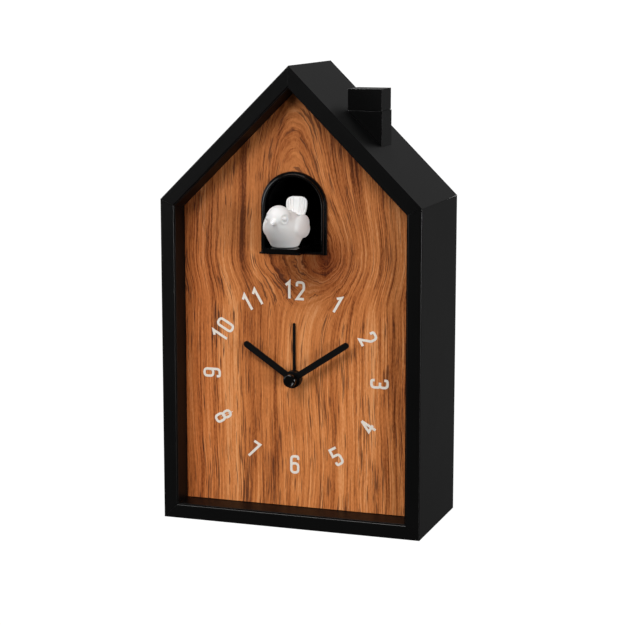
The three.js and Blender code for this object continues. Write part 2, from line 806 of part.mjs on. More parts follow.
function birdDrive() {
  const { x, y, z, motorZ, shaft, module } = drive;
  add("pinion_shaft", rodX(shaft, ear.left[0] - 1, x + 2.4, y, z), "steel");

  const bore = rodX(shaft + arbor.press, -house.halfWidth, house.halfWidth, y, z);
  const pinion = sideGear(rack.teeth, rack.module, [-drive.pinionHalf, drive.pinionHalf], y, z);
  add("rack_pinion", cut(pinion, bore), "clearWhite");

  // A tooth space of the wheel faces the motor's pinion below it.
  const wheelPhase = Math.PI + Math.PI / drive.wheelTeeth;
  const wheelSpan = [x - drive.wheelHalf, x + drive.wheelHalf];
  const wheel = sideGear(drive.wheelTeeth, module, wheelSpan, y, z, wheelPhase);
  const boss = rodX(drive.boss, wheelSpan[0] - 0.5, wheelSpan[1] + 0.6, y, z);
  add("drive_gear", cut(join(wheel, boss), bore), "clearWhite");

  const { deep, high, boxEnd, boxLength, canLength } = gearmotor;
  const pinionSpan = [x - drive.motorPinionHalf, x + drive.motorPinionHalf];
  const motorTeeth = sideGear(drive.pinionTeeth, module, pinionSpan, y, motorZ);
  const motorShaft = rodX(gearmotor.shaft, boxEnd + 0.1, x - 1, y, motorZ);
  add("motor_pinion", join(motorTeeth, motorShaft), "brass");

  const [y0, y1] = [y - deep / 2, y + deep / 2];
  const [z0, z1] = [motorZ - high / 2, motorZ + high / 2];
  const boxStart = boxEnd - boxLength;
  add("motor_gearbox", block([boxStart, boxEnd], [y0, y1], [z0, z1]), "brass");

  const canStart = boxStart - canLength;
  const canRound = rodX(deep / 2, canStart, boxStart - 0.1, y, motorZ);
  const canFlats = block([canStart - PAST, boxStart], [y0 - PAST, y1 + PAST], [z0, z1]);
  const endBoss = rodX(gearmotor.boss, canStart - 1, boxStart - 2, y, motorZ);
  add("bird_motor", join(common(canRound, canFlats), endBoss), "steel");
}

// ---------------------------------------------------------------- hands

// A hand that points from the axis at an angle clockwise from twelve, with a round hub.
function hand({ name, angle, length, width, bore, blade, hubLayer }) {
  const half = width / 2;
  const shape = new THREE.Shape();
  shape.moveTo(-half, 0);
  shape.lineTo(half, 0);
  shape.lineTo(half, length - half);
  shape.absarc(0, length - half, half, 0, Math.PI, false);
  const [y0, y1] = blade;
  const flat = { depth: y1 - y0, bevelEnabled: false, curveSegments: 10 };
  const bar = new THREE.ExtrudeGeometry(shape, flat)
    .applyMatrix4(facingFront)
    .translate(0, y1, 0)
    .rotateY(angle);
  const disc = rodY(hub.radius, ...hubLayer, 0, 0, FINE);
  const hole = rodY(bore + arbor.press, hubLayer[0] - PAST, hubLayer[1] + PAST, 0, 0);
  add(name, cut(join(bar, disc), hole).translate(0, 0, dial.axisZ), "blackPlastic");
}

function handCap() {
  const [front, rear] = stack.cap;
  const high = rear - front;
  const profile = [
    [0, 0],
    [hub.cap, 0],
    [hub.cap, high - hub.capBevel],
    [hub.cap - hub.capBevel, high],
    [0, high],
  ].map(([r, h]) => new THREE.Vector2(r, h));
  const cap = new THREE.LatheGeometry(profile, ROUND).rotateX(Math.PI).translate(0, rear, dial.axisZ);
  add("hand_cap", cap, "blackPlastic");
}

// ---------------------------------------------------------------- movement

function movementCase() {
  const half = movement.size / 2;
  const [x0, x1] = [-half, half];
  const [z0, z1] = [dial.axisZ - half, dial.axisZ + half];
  const { front, rear, wall, cover } = movement;
  const shell = block([x0, x1], [front, rear - cover - 0.2], [z0, z1]);
  const hollow = block([x0 + wall, x1 - wall], [front + wall, rear], [z0 + wall, z1 - wall]);
  const post = rodY(movement.post, dial.front + 0.4, front + 0.5, 0, dial.axisZ);
  const frontWall = [front - PAST, front + wall + PAST];
  const postBore = rodY(
    arbor.alarm + arbor.running,
    dial.front - PAST,
    frontWall[1],
    0,
    dial.axisZ,
  );
  const pivots = [axis.minute, axis.alarm].map(([x, z]) =>
    rodY(train.pivot + train.play, ...frontWall, x, z, SMALL),
  );
  const pillars = pillarPlaces().map(([x, z]) =>
    rodY(movement.pillar, front + 0.5, layer.plate[0] - 0.1, x, z, SMALL),
  );
  const cased = join(cut(shell, hollow), post, ...pillars);
  add("movement_case", cut(cased, postBore, ...pivots), "clearWhite");

  const lid = block([x0, x1], [rear - cover, rear], [z0, z1]);
  const rearWall = [rear - cover - PAST, rear + PAST];
  const stems = [axis.minute, axis.alarm].map(([x, z]) =>
    rodY(train.stem + train.play, ...rearWall, x, z),
  );
  const arborHole = rodY(arbor.minute + train.play, ...rearWall, 0, dial.axisZ);
  const thirdHole = rodY(train.pivot + train.play, ...rearWall, ...axis.third, SMALL);
  add("movement_cover", cut(lid, ...stems, arborHole, thirdHole), "clearWhite");
}

function pillarPlaces() {
  const reach = movement.pillarReach;
  return [
    [-reach, dial.axisZ - reach],
    [reach, dial.axisZ - reach],
    [-reach, dial.axisZ + reach],
    [reach, dial.axisZ + reach],
  ];
}

// The plate between the motion work in front and the going train behind.
function gearPlate() {
  const half = movement.plate;
  const [y0, y1] = layer.plate;
  const plate = block([-half, half], [y0, y1], [dial.axisZ - half, dial.axisZ + half]);
  const through = (radius, [x, z]) => rodY(radius + train.play, y0 - PAST, y1 + PAST, x, z);
  const holes = [
    through(arbor.minute, [0, dial.axisZ]),
    through(train.stem, axis.minute),
    through(train.stem, axis.alarm),
    through(train.pivot, axis.third),
  ];
  add("gear_plate", cut(plate, ...holes), "greyPlastic");
}

function goingTrain() {
  const [centreX, centreZ] = [0, dial.axisZ];
  const arborRear = movement.rear - 0.4;
  const spindle = rodY(arbor.minute, stack.minuteHand[0] - 0.1, arborRear, centreX, centreZ);
  const cannon = frontGear(
    motion.cannonTeeth,
    train.module,
    layer.cannon,
    centreX,
    centreZ,
    Math.PI / 2,
  );
  add("minute_arbor", join(spindle, cannon), "brass");

  // A tooth of the centre wheel points down at the third wheel's pinion.
  const { module, wheelTeeth, pinionTeeth } = going;
  const wheel = frontGear(wheelTeeth, module, layer.centreWheel, centreX, centreZ, Math.PI);
  const [wheelFront, wheelRear] = layer.centreWheel;
  const bore = rodY(arbor.minute + arbor.press, wheelFront - PAST, wheelRear + PAST, centreX, centreZ);
  add("centre_wheel", cut(wheel, bore), "brass");

  const [x, z] = axis.third;
  const pinion = frontGear(pinionTeeth, module, layer.thirdPinion, x, z, Math.PI / pinionTeeth);
  const third = frontGear(wheelTeeth, module, layer.thirdWheel, x, z);
  const pivots = rodY(train.pivot, layer.plate[0] + 0.1, arborRear, x, z, SMALL);
  add("third_wheel", join(pinion, third, pivots), "clearWhite");
}

// The sealed step motor, with a slot into which the rim of the third wheel runs, and its coil.
function stepMotor() {
  const [x, z] = axis.third;
  const { half, front, rear } = stepper;
  const body = block([-half, half], [front, rear], [z - stepper.low, z - stepper.high]);
  const wheelTip = (going.module * going.wheelTeeth) / 2;
  const [wheelFront, wheelRear] = layer.thirdWheel;
  const rim = rodY(wheelTip + stepper.rimRoom, wheelFront - 0.4, wheelRear + 0.4, x, z, FINE);
  const arborGap = rodY(stepper.arborRoom, front - PAST, rear + PAST, x, z);
  add("step_motor", cut(body, rim, arborGap), "greyPlastic");

  const coilZ = z - coil.drop;
  const winding = rodX(coil.radius, -coil.half, coil.half, coil.y, coilZ);
  const cheeks = [-coil.half - coil.cheekThick, coil.half].map((start) =>
    rodX(coil.cheek, start, start + coil.cheekThick, coil.y, coilZ),
  );
  add("motor_coil", join(winding, ...cheeks), "copper");
}

function motionWork() {
  const { minuteTeeth, pinionTeeth, hourTeeth, alarmTeeth } = motion;
  const { module, stem, pivot } = train;
  const pivotFront = movement.front + 0.4;
  const stemRear = knob.front + knob.socket;
  const quarter = Math.PI / 2;

  // Gears on neighbouring axes stand tooth to space: half a tooth is a turn divided by twice the teeth.
  const [minuteX, minuteZ] = axis.minute;
  const wheelPhase = -quarter + Math.PI / minuteTeeth;
  const wheel = frontGear(minuteTeeth, module, layer.minuteWheel, minuteX, minuteZ, wheelPhase);
  const pinion = frontGear(pinionTeeth, module, layer.minutePinion, minuteX, minuteZ, -quarter);
  const frontPivot = rodY(pivot, pivotFront, layer.minutePinion[0] + 0.5, minuteX, minuteZ, SMALL);
  const minuteStem = rodY(stem, layer.minuteWheel[1] - 0.5, stemRear, minuteX, minuteZ);
  add("minute_wheel", join(wheel, pinion, frontPivot, minuteStem), "clearWhite");

  const tube = (teeth, radius, bore, { wheelLayer, front, phase }) => {
    const ring = frontGear(teeth, module, wheelLayer, 0, dial.axisZ, phase);
    const pipe = rodY(radius, front, wheelLayer[0] + 0.5, 0, dial.axisZ);
    const through = rodY(bore + arbor.running, front - PAST, wheelLayer[1] + PAST, 0, dial.axisZ);
    return cut(join(ring, pipe), through);
  };
  const hourWheel = tube(hourTeeth, arbor.hour, arbor.minute, {
    wheelLayer: layer.hourWheel,
    front: stack.hourHand[0] - 0.05,
    phase: quarter + Math.PI / hourTeeth,
  });
  add("hour_wheel", hourWheel, "clearWhite");
  const alarmWheel = tube(alarmTeeth, arbor.alarm, arbor.hour, {
    wheelLayer: layer.alarmWheel,
    front: stack.alarmHand[0] - 1.4,
    phase: -quarter + Math.PI / alarmTeeth,
  });
  add("alarm_wheel", alarmWheel, "clearWhite");

  const [alarmX, alarmZ] = axis.alarm;
  const alarmPinion = frontGear(pinionTeeth, module, layer.alarmPinion, alarmX, alarmZ, quarter);
  const alarmPivot = rodY(pivot, pivotFront, layer.alarmPinion[0] + 0.5, alarmX, alarmZ, SMALL);
  const alarmStem = rodY(stem, layer.alarmPinion[1] - 0.5, stemRear, alarmX, alarmZ);
  add("alarm_pinion", join(alarmPinion, alarmPivot, alarmStem), "clearWhite");
}

function settingKnobs() {
  const corners = knob.flutes * 2;
  const points = [];
  for (let i = 0; i < corners; i += 1) {
    const angle = (TURN * i) / corners;
    const radius = knob.radius - (i % 2) * knob.fluteDepth;
    points.push([radius * Math.cos(angle), radius * Math.sin(angle)]);
  }
  for (const [name, [x, z]] of [
    ["time_knob", axis.minute],
    ["alarm_knob", axis.alarm],
  ]) {
    const body = frontPrism(outline(points), knob.front, knob.rear).translate(x, 0, z);
    const socket = [knob.front - PAST, knob.front + knob.socket + 0.1];
    const bore = rodY(train.stem + arbor.press, ...socket, x, z);
    add(name, cut(body, bore), "mattePlastic");
  }
}

// ---------------------------------------------------------------- rear cover and electrics

function rearCoverPiece() {
  const { front, rear, clearance } = rearCover;
  const through = [front - PAST, rear + PAST];
  const plate = frontPrism(houseOutline(house.board + clearance), front, rear);
  const edge = bay.halfWidth + 0.2;
  const batteryHole = block([-edge, edge], through, [bay.low - 0.2, bay.high + 0.2]);
  const hingeSockets = [-1, 1].map((side) => {
    const ends = [side * (edge - 0.5), side * (bay.halfWidth + door.pivotReach + 0.4)];
    const span = ends.sort((a, b) => a - b);
    return rodX(door.pivot + 0.06, ...span, door.pivotY, door.pivotZ, SMALL);
  });
  const stems = [axis.minute, axis.alarm].map(([x, z]) => rodY(train.stem + 0.3, ...through, x, z));
  const screws = screwPlaces().map(([x, z]) => rodY(screw.shank + 0.1, ...through, x, z, SMALL));
  const slotHalf = slider.travel / 2 + slider.wide / 2 + 0.3;
  const sliderSlots = [slider.alarmZ, slider.chimeZ].map((z) =>
    block(
      [controls.x - slotHalf, controls.x + slotHalf],
      through,
      [z - slider.slotHigh / 2, z + slider.slotHigh / 2],
    ),
  );
  const buttonHole = rodY(testButton.radius + 0.2, ...through, controls.x, testButton.z);
  const grille = speaker.slots.map((offset) => {
    const half = Math.sqrt((speaker.radius - speaker.margin) ** 2 - offset ** 2);
    const z = speaker.z + offset;
    return block(
      [speaker.x - half, speaker.x + half],
      through,
      [z - speaker.slotHalf, z + speaker.slotHalf],
    );
  });
  const holes = [batteryHole, ...hingeSockets, ...stems, ...screws, ...sliderSlots, buttonHole];
  add("rear_cover", cut(plate, ...holes, ...grille), "mattePlastic");
}

function screwPlaces() {
  return [
    [-screw.x, screw.lowZ],
    [screw.x, screw.lowZ],
    [-screw.x, screw.highZ],
    [screw.x, screw.highZ],
  ];
}

function rearScrews() {
  screwPlaces().forEach(([x, z], i) => {
    const seat = rearCover.rear + 0.05;
    const head = rodY(screw.head, seat, seat + screw.headHigh, x, z);
    const shank = rodY(screw.shank, rearCover.front - screw.length + 1, seat + 0.5, x, z, SMALL);
    const { half, halfWidth, floor } = crossSlot;
    const deep = [seat + floor, seat + screw.headHigh + PAST];
    const arms = [
      block([x - half, x + half], deep, [z - halfWidth, z + halfWidth]),
      block([x - halfWidth, x + halfWidth], deep, [z - half, z + half]),
    ];
    add("rear_screw_" + (i + 1), cut(join(head, shank), ...arms), "steel");
  });
}

function batteryBay() {
  const { halfWidth, wall, front, low, high } = bay;
  const outer = halfWidth + wall;
  const tub = block(
    [-outer, outer],
    [front - wall, rearCover.front - 0.1],
    [low - wall, high + wall],
  );
  const hollow = block([-halfWidth, halfWidth], [front, rearCover.front + PAST], [low, high]);
  add("battery_tray", cut(tub, hollow), "mattePlastic");

  const outside = rearCover.rear - door.setback;
  const panel = block(
    [-halfWidth + door.gap, halfWidth - door.gap],
    [outside - door.thickness, outside],
    [low + door.gap, high - door.gap],
  );
  const reach = halfWidth + door.pivotReach;
  const lugs = rodX(door.pivot, -reach, reach, door.pivotY, door.pivotZ, SMALL);
  const grips = [-1, 0, 1].map((step) => {
    const z = high - grip.drop + step * grip.pitch;
    return block(
      [-grip.half, grip.half],
      [outside - grip.depth, outside + PAST],
      [z - grip.halfWidth, z + grip.halfWidth],
    );
  });
  add("battery_door", cut(join(panel, lugs), ...grips), "mattePlastic");
}

// The three cells lie side by side and point left and right in turn.
function cellWay(i) {
  return i % 2 === 0 ? 1 : -1;
}

function batteries() {
  for (let i = 0; i < 3; i += 1) {
    const z = cell.lowZ + i * cell.pitch;
    const tip = bay.halfWidth - contact.plate - 0.1;
    const shoulder = tip - cell.nubLength;
    const can = rodX(cell.radius, tip - cell.length, shoulder, cell.y, z);
    const nub = rodX(cell.nub, shoulder - 0.5, tip, cell.y, z, SMALL);
    const made = join(can, nub);
    add("battery_" + (i + 1), cellWay(i) > 0 ? made : mirrored(made), "cellWrap");
  }
}

// Sheet contacts at both ends of the cells, with a conical spring wherever a cell's flat end sits.
function batteryContacts() {
  const plateX = bay.halfWidth - 0.05;
  const springStart = plateX - contact.plate - 0.3;
  const springEnd = plateX - contact.plate - contact.springGap + 0.4;
  for (const [name, side, cells] of contactStrips) {
    const low = cell.lowZ + cells[0] * cell.pitch - contact.half;
    const high = cell.lowZ + cells[cells.length - 1] * cell.pitch + contact.half;
    const faces = [side * plateX, side * (plateX - contact.plate)].sort((a, b) => a - b);
    const plate = block(faces, [cell.y - contact.half, cell.y + contact.half], [low, high]);
    const springs = cells
      .filter((i) => cellWay(i) !== side)
      .map((i) =>
        springGeometry({
          turns: contact.turns,
          from: side * springStart,
          to: side * springEnd,
          startRadius: contact.wide,
          endRadius: contact.narrow,
          wire: contact.wire,
          place: (a, b, along) => new THREE.Vector3(along, cell.y + a, cell.lowZ + i * cell.pitch + b),
        }),
      );
    add(name, springs.length ? join(plate, ...springs) : plate, "steel");
  }
}

function circuitBoard() {
  const { left, right, low, high, front, rear } = circuit;
  const sheet = block([left, right], [front, rear], [low, high]);
  const chipDepth = [front - chip.thick, front + 0.2];
  const chipBody = block([chip.left, chip.right], chipDepth, [chip.low, chip.high]);
  const bodies = [rear - 0.2, rear + controls.bodyRear];
  const [halfX, halfZ] = slider.bodyHalf;
  const switchBodies = [slider.alarmZ, slider.chimeZ].map((z) =>
    block([controls.x - halfX, controls.x + halfX], bodies, [z - halfZ, z + halfZ]),
  );
  const half = testButton.bodyHalf;
  const keyBody = block(
    [controls.x - half, controls.x + half],
    bodies,
    [testButton.z - half, testButton.z + half],
  );
  add("circuit_board", join(sheet, chipBody, ...switchBodies, keyBody), "circuit");
}

// The two sliding switches and the round button that stand out of the rear cover.
function rearControls() {
  const rest = controls.x - slider.travel / 2;
  const bodyTop = circuit.rear + controls.bodyRear;
  for (const [name, z] of [
    ["alarm_switch", slider.alarmZ],
    ["chime_switch", slider.chimeZ],
  ]) {
    const nub = block(
      [rest - slider.wide / 2, rest + slider.wide / 2],
      [bodyTop + 0.2, slider.tip],
      [z - slider.high / 2, z + slider.high / 2],
    );
    add(name, nub, "mattePlastic");
  }

  const { radius, collar, push, tip, z } = testButton;
  const inner = rearCover.front;
  const cap = rodY(radius, inner - 0.5, tip, controls.x, z);
  const ring = rodY(collar, inner - 1.7, inner - 0.3, controls.x, z);
  const rod = rodY(push, bodyTop + 0.9, inner - 1, controls.x, z, SMALL);
  add("test_button", join(cap, ring, rod), "mattePlastic");
}

function speakerPiece() {
  const profile = speakerOutline.map(([r, h]) => new THREE.Vector2(r, h));
  const body = new THREE.LatheGeometry(profile, ROUND);
  add("speaker", body.translate(speaker.x, speaker.front, speaker.z), "steel");
}

// ---------------------------------------------------------------- assembly

caseBoards();
cleats();
chimneyPieces();
snoozeSwitch();
dialPieces();
nicheBezel();
nicheTunnel();
birdTray();
birdBody();
birdDrive();
handSet.forEach(hand);
handCap();
movementCase();
gearPlate();
goingTrain();
stepMotor();
motionWork();
settingKnobs();
rearCoverPiece();
rearScrews();
batteryBay();
batteries();
batteryContacts();
circuitBoard();
rearControls();
speakerPiece();

export default clock;
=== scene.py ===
import json
import math

import bmesh
import bpy
from mathutils import Matrix, Vector

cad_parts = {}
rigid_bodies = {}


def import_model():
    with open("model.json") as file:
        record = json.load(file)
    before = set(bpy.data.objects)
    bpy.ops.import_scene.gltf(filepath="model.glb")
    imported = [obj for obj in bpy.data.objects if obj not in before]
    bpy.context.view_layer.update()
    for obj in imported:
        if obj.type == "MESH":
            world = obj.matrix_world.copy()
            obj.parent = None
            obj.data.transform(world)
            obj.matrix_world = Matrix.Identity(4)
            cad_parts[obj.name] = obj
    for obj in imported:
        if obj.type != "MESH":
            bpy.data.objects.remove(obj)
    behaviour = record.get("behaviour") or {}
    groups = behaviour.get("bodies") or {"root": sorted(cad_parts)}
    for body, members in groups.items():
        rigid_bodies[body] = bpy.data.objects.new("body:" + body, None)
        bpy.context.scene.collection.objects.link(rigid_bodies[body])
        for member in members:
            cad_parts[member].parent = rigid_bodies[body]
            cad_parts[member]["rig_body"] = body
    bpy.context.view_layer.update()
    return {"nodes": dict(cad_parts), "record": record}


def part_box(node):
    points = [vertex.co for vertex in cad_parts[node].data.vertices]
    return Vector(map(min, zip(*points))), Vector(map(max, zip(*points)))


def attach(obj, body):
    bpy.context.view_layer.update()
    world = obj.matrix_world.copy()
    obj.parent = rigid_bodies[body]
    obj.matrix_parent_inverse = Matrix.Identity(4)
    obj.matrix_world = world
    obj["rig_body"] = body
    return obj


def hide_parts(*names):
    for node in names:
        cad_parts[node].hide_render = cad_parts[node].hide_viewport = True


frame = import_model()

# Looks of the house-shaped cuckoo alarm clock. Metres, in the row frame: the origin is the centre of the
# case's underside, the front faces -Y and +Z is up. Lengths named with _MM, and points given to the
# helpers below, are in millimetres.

MM = 0.001
TURN = 2 * math.pi


# ---------------------------------------------------------------- placing pieces


def mesh_piece(name, points, faces, scale=MM):
    """A new object from points, in millimetres unless scale says otherwise, and faces."""
    mesh = bpy.data.meshes.new(name)
    mesh.from_pydata([Vector(point) * scale for point in points], [], faces)
    mesh.update()
    piece = bpy.data.objects.new(name, mesh)
    bpy.context.scene.collection.objects.link(piece)
    return piece


def face_outwards(piece):
    work = bmesh.new()
    work.from_mesh(piece.data)
    bmesh.ops.recalc_face_normals(work, faces=work.faces)
    work.to_mesh(piece.data)
    work.free()


def modify(piece, kind, **settings):
    """Applies one modifier to a piece's mesh."""
    modifier = piece.modifiers.new(kind, kind)
    for key, value in settings.items():
        setattr(modifier, key, value)
    bpy.context.view_layer.update()
    graph = bpy.context.evaluated_depsgraph_get()
    made = bpy.data.meshes.new_from_object(piece.evaluated_get(graph))
    before = piece.data
    piece.modifiers.clear()
    piece.data = made
    made.name = piece.name
    bpy.data.meshes.remove(before)


def smooth(piece, angle=35):
    """Smooth shading, with hard edges where faces meet at more than the angle."""
    piece.data.shade_smooth()
    piece.data.set_sharp_from_angle(angle=math.radians(angle))


def install(piece, slot, body, *nodes):
    """Gives a piece its finish and its body, and hides the CAD nodes that it stands for."""
    piece.data.materials.clear()
    piece.data.materials.append(finishes[slot])
    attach(piece, body)
    if nodes:
        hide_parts(*nodes)
    return piece


def body_of(node):
    return frame["nodes"][node]["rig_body"]


# ---------------------------------------------------------------- shapes

WELD = 2e-6  # metres; points closer than this are one point
FLAT = math.radians(0.5)  # faces that meet at less than this are one face
SHARP = math.radians(30)  # edges that turn by more than this are rounded


def clean_copy(node):
    """The CAD node's mesh as a new object, with its triangles merged into whole flat faces."""
    work = bmesh.new()
    work.from_mesh(frame["nodes"][node].data)
    bmesh.ops.remove_doubles(work, verts=work.verts, dist=WELD)
    bmesh.ops.dissolve_limit(work, angle_limit=FLAT, verts=work.verts, edges=work.edges)
    work.verts.index_update()
    points = [vert.co.copy() for vert in work.verts]
    faces = [[vert.index for vert in face.verts] for face in work.faces]
    work.free()
    return mesh_piece(node + "_look", points, faces, scale=1)


def round_edges(piece, width, segments=2, limit="ANGLE"):
    """Rounds a piece's sharp edges by a width in millimetres, or its weighted edges by their weights."""
    piece.data.shade_smooth()
    modify(
        piece,
        "BEVEL",
        width=width * MM,
        segments=segments,
        limit_method=limit,
        angle_limit=SHARP,
        harden_normals=True,
    )


def rounded_copy(node, slot, width):
    """A piece that stands for a CAD node, with its sharp edges rounded by a width in millimetres."""
    piece = clean_copy(node)
    round_edges(piece, width)
    return install(piece, slot, body_of(node), node)


def lathe(name, profile, place, sides=64):
    """A piece turned about the Y axis. The profile is (radius, y) pairs that start and end on the axis."""
    rings = []
    for radius, along in profile:
        angles = [TURN * i / sides for i in range(sides if radius else 1)]
        ring = [Vector((radius * math.cos(angle), along, radius * math.sin(angle))) for angle in angles]
        rings.append([point + Vector(place) for point in ring])
    piece = skin(name, rings)
    smooth(piece)
    return piece


def bridge(ring, following):
    """Faces between two closed rings of the same length, either of which may be one point."""
    count = max(len(ring), len(following))
    faces = []
    for i in range(count):
        j = (i + 1) % count
        if len(ring) == 1:
            faces.append([ring[0], following[i], following[j]])
        elif len(following) == 1:
            faces.append([ring[i], ring[j], following[0]])
        else:
            faces.append([ring[i], ring[j], following[j], following[i]])
    return faces


def skin(name, rings):
    """A closed piece over rings of points. Each end is a single point or gets a flat cap."""
    points, faces, previous = [], [], None
    for ring_points in rings:
        ring = list(range(len(points), len(points) + len(ring_points)))
        points += ring_points
        if previous:
            faces += bridge(previous, ring)
        elif len(ring) > 1:
            faces.append(ring[::-1])
        previous = ring
    if len(previous) > 1:
        faces.append(previous)
    piece = mesh_piece(name, points, faces)
    face_outwards(piece)
    return piece


def prism(name, outline, y_front, y_rear):
    """A closed outline of (x, z) points, between two y values."""
    count = len(outline)
    points = [(x, y_front, z) for x, z in outline] + [(x, y_rear, z) for x, z in outline]
    front, rear = list(range(count)), list(range(count, 2 * count))
    faces = [front, rear[::-1]] + bridge(front, rear)
    piece = mesh_piece(name, points, faces)
    face_outwards(piece)
    return piece


def join_solids(first, *others):
    """The union of closed solids, kept in the first one."""
    for other in others:
        modify(first, "BOOLEAN", operation="UNION", object=other, solver="EXACT")
        bpy.data.objects.remove(other)
    return first


def collect(name, pieces):
    """One object from several, whose skins stay as they are."""
    work = bmesh.new()
    for piece in pieces:
        work.from_mesh(piece.data)
        bpy.data.objects.remove(piece)
    mesh = bpy.data.meshes.new(name)
    work.to_mesh(mesh)
    work.free()
    whole = bpy.data.objects.new(name, mesh)
    bpy.context.scene.collection.objects.link(whole)
    return whole


# ---------------------------------------------------------------- node materials


class Finish:
    """A node material under construction. Its methods add nodes, and most return an output socket."""

    def __init__(self, name, **constants):
        self.material = bpy.data.materials.new(name)
        self.material.use_nodes = True
        self.tree = self.material.node_tree
        self.surface = next(n for n in self.tree.nodes if n.type == "BSDF_PRINCIPLED")
        for socket, value in constants.items():
            self.surface.inputs[socket.replace("_", " ")].default_value = value

    def add(self, kind, inputs, **settings):
        node = self.tree.nodes.new("ShaderNode" + kind)
        for key, value in settings.items():
            setattr(node, key, value)
        for key, value in inputs.items():
            self.feed(node.inputs[key], value)
        return node

    def feed(self, socket, value):
        if isinstance(value, bpy.types.NodeSocket):
            self.tree.links.new(value, socket)
        else:
            socket.default_value = value

    def math(self, operation, first, second=0.0, third=0.0, clamp=False):
        inputs = {0: first, 1: second, 2: third}
        return self.add("Math", inputs, operation=operation, use_clamp=clamp).outputs[0]

    def place(self):
        """The point on the object at rest, in millimetres."""
        point = self.add("TexCoord", {}).outputs["Object"]
        scaled = self.add("VectorMath", {0: point, "Scale": 1 / MM}, operation="SCALE")
        return scaled.outputs[0]

    def split(self, vector):
        return self.add("SeparateXYZ", {0: vector}).outputs

    def vector(self, x, y, z):
        return self.add("CombineXYZ", {0: x, 1: y, 2: z}).outputs[0]

    def stretched(self, vector, scales):
        return self.add("VectorMath", {0: vector, 1: scales}, operation="MULTIPLY").outputs[0]

    def noise(self, vector, scale=1.0, detail=2.0, roughness=0.5, distortion=0.0):
        inputs = {
            "Vector": vector,
            "Scale": scale,
            "Detail": detail,
            "Roughness": roughness,
            "Distortion": distortion,
        }
        return self.add("TexNoise", inputs).outputs[0]

    def ramp(self, share, stops, interpolation="LINEAR"):
        node = self.add("ValToRGB", {0: share})
        node.color_ramp.interpolation = interpolation
        elements = node.color_ramp.elements
        while len(elements) < len(stops):
            elements.new(0.5)
        for element, (position, color) in zip(elements, stops):
            element.position = position
            element.color = (*color, 1)
        return node.outputs[0]

    def span(self, value, low, high, to_low=0.0, to_high=1.0):
        """The value's place between low and high, without running past either end."""
        inputs = {"Value": value, 1: low, 2: high, 3: to_low, 4: to_high}
        return self.add("MapRange", inputs, interpolation_type="SMOOTHSTEP").outputs[0]

    def mix(self, share, first, second, blend="MIX"):
        inputs = {0: share, 6: color4(first), 7: color4(second)}
        node = self.add("Mix", inputs, data_type="RGBA", blend_type=blend)
        return node.outputs[2]

    def bump(self, height, distance_mm, strength=1.0, onto=None):
        inputs = {"Height": height, "Distance": distance_mm * MM, "Strength": strength}
        if onto is not None:
            inputs["Normal"] = onto
        return self.add("Bump", inputs).outputs[0]

    def wire(self, **links):
        """Links outputs to the surface's sockets, named as they are shown."""
        for socket, value in links.items():
            self.feed(self.surface.inputs[socket.replace("_", " ")], value)
        return self.material


def color4(value):
    return value if isinstance(value, bpy.types.NodeSocket) else (*value, 1)


def shade(color, factor):
    return tuple(channel * factor for channel in color)


def lacquer(name, color, roughness, specular):
    """Sprayed lacquer or smooth moulding: a slow drift of gloss and a trace of orange peel."""
    made = Finish(name, Specular_IOR_Level=specular)
    point = made.place()
    drift = made.noise(point, scale=0.03, detail=3)
    fine = made.noise(point, scale=1.1, detail=2)
    tone = made.mix(drift, shade(color, 0.75), shade(color, 1.25))
    gloss = made.span(drift, 0.3, 0.7, roughness - 0.01, roughness + 0.01)
    return made.wire(Base_Color=tone, Roughness=gloss, Normal=made.bump(fine, 0.008, 0.25))


def moulded(name, color, roughness, grain=2.6, depth=0.03, mottle=0.12, specular=0.5):
    """Moulded plastic with a fine even texture."""
    made = Finish(name, Specular_IOR_Level=specular)
    point = made.place()
    coarse = made.noise(point, scale=0.08, detail=3)
    fine = made.noise(point, scale=grain, detail=2, roughness=0.6)
    tone = made.mix(coarse, shade(color, 1 - mottle), shade(color, 1 + mottle))
    gloss = made.span(fine, 0.3, 0.7, roughness - 0.06, roughness + 0.06)
    return made.wire(Base_Color=tone, Roughness=gloss, Normal=made.bump(fine, depth, 0.4))


def metal(name, color, roughness, along=(0.4, 6, 6), depth=0.01):
    """Metal with drawn or turned lines, which run along the axis that is stretched least."""
    made = Finish(name, Metallic=1.0)
    point = made.place()
    lines = made.noise(made.stretched(point, along), detail=3, roughness=0.6)
    cloud = made.noise(point, scale=0.25, detail=3)
    tone = made.mix(cloud, shade(color, 0.82), shade(color, 1.1))
    gloss = made.span(lines, 0.25, 0.75, roughness - 0.1, roughness + 0.12)
    return made.wire(Base_Color=tone, Roughness=gloss, Normal=made.bump(lines, depth, 0.4))


# Colours of the veneer, each with the share of the wood that is darker than it.
WOOD_COLORS = [
    (0.00, (0.130, 0.032, 0.008)),
    (0.06, (0.254, 0.067, 0.017)),
    (0.16, (0.356, 0.100, 0.025)),
    (0.30, (0.454, 0.138, 0.035)),
    (0.50, (0.551, 0.178, 0.050)),
    (0.70, (0.629, 0.213, 0.059)),
    (0.85, (0.683, 0.243, 0.074)),
    (0.95, (0.734, 0.284, 0.094)),
    (1.00, (0.788, 0.343, 0.133)),
]
WOOD_PORE = (0.088, 0.027, 0.013)
# The veneer's colour is multiplied by these at the heart of the knot, round it and along the left edge.
# The last one is painted shade, which darkens the veneer towards the top.
KNOT_HEART = (0.56, 0.47, 0.44)
KNOT_EDGE = (0.62, 0.48, 0.40)
LEFT_EDGE = (0.90, 0.78, 0.72)
TOP_PAINTED_SHADE = (0.82, 0.84, 0.88)

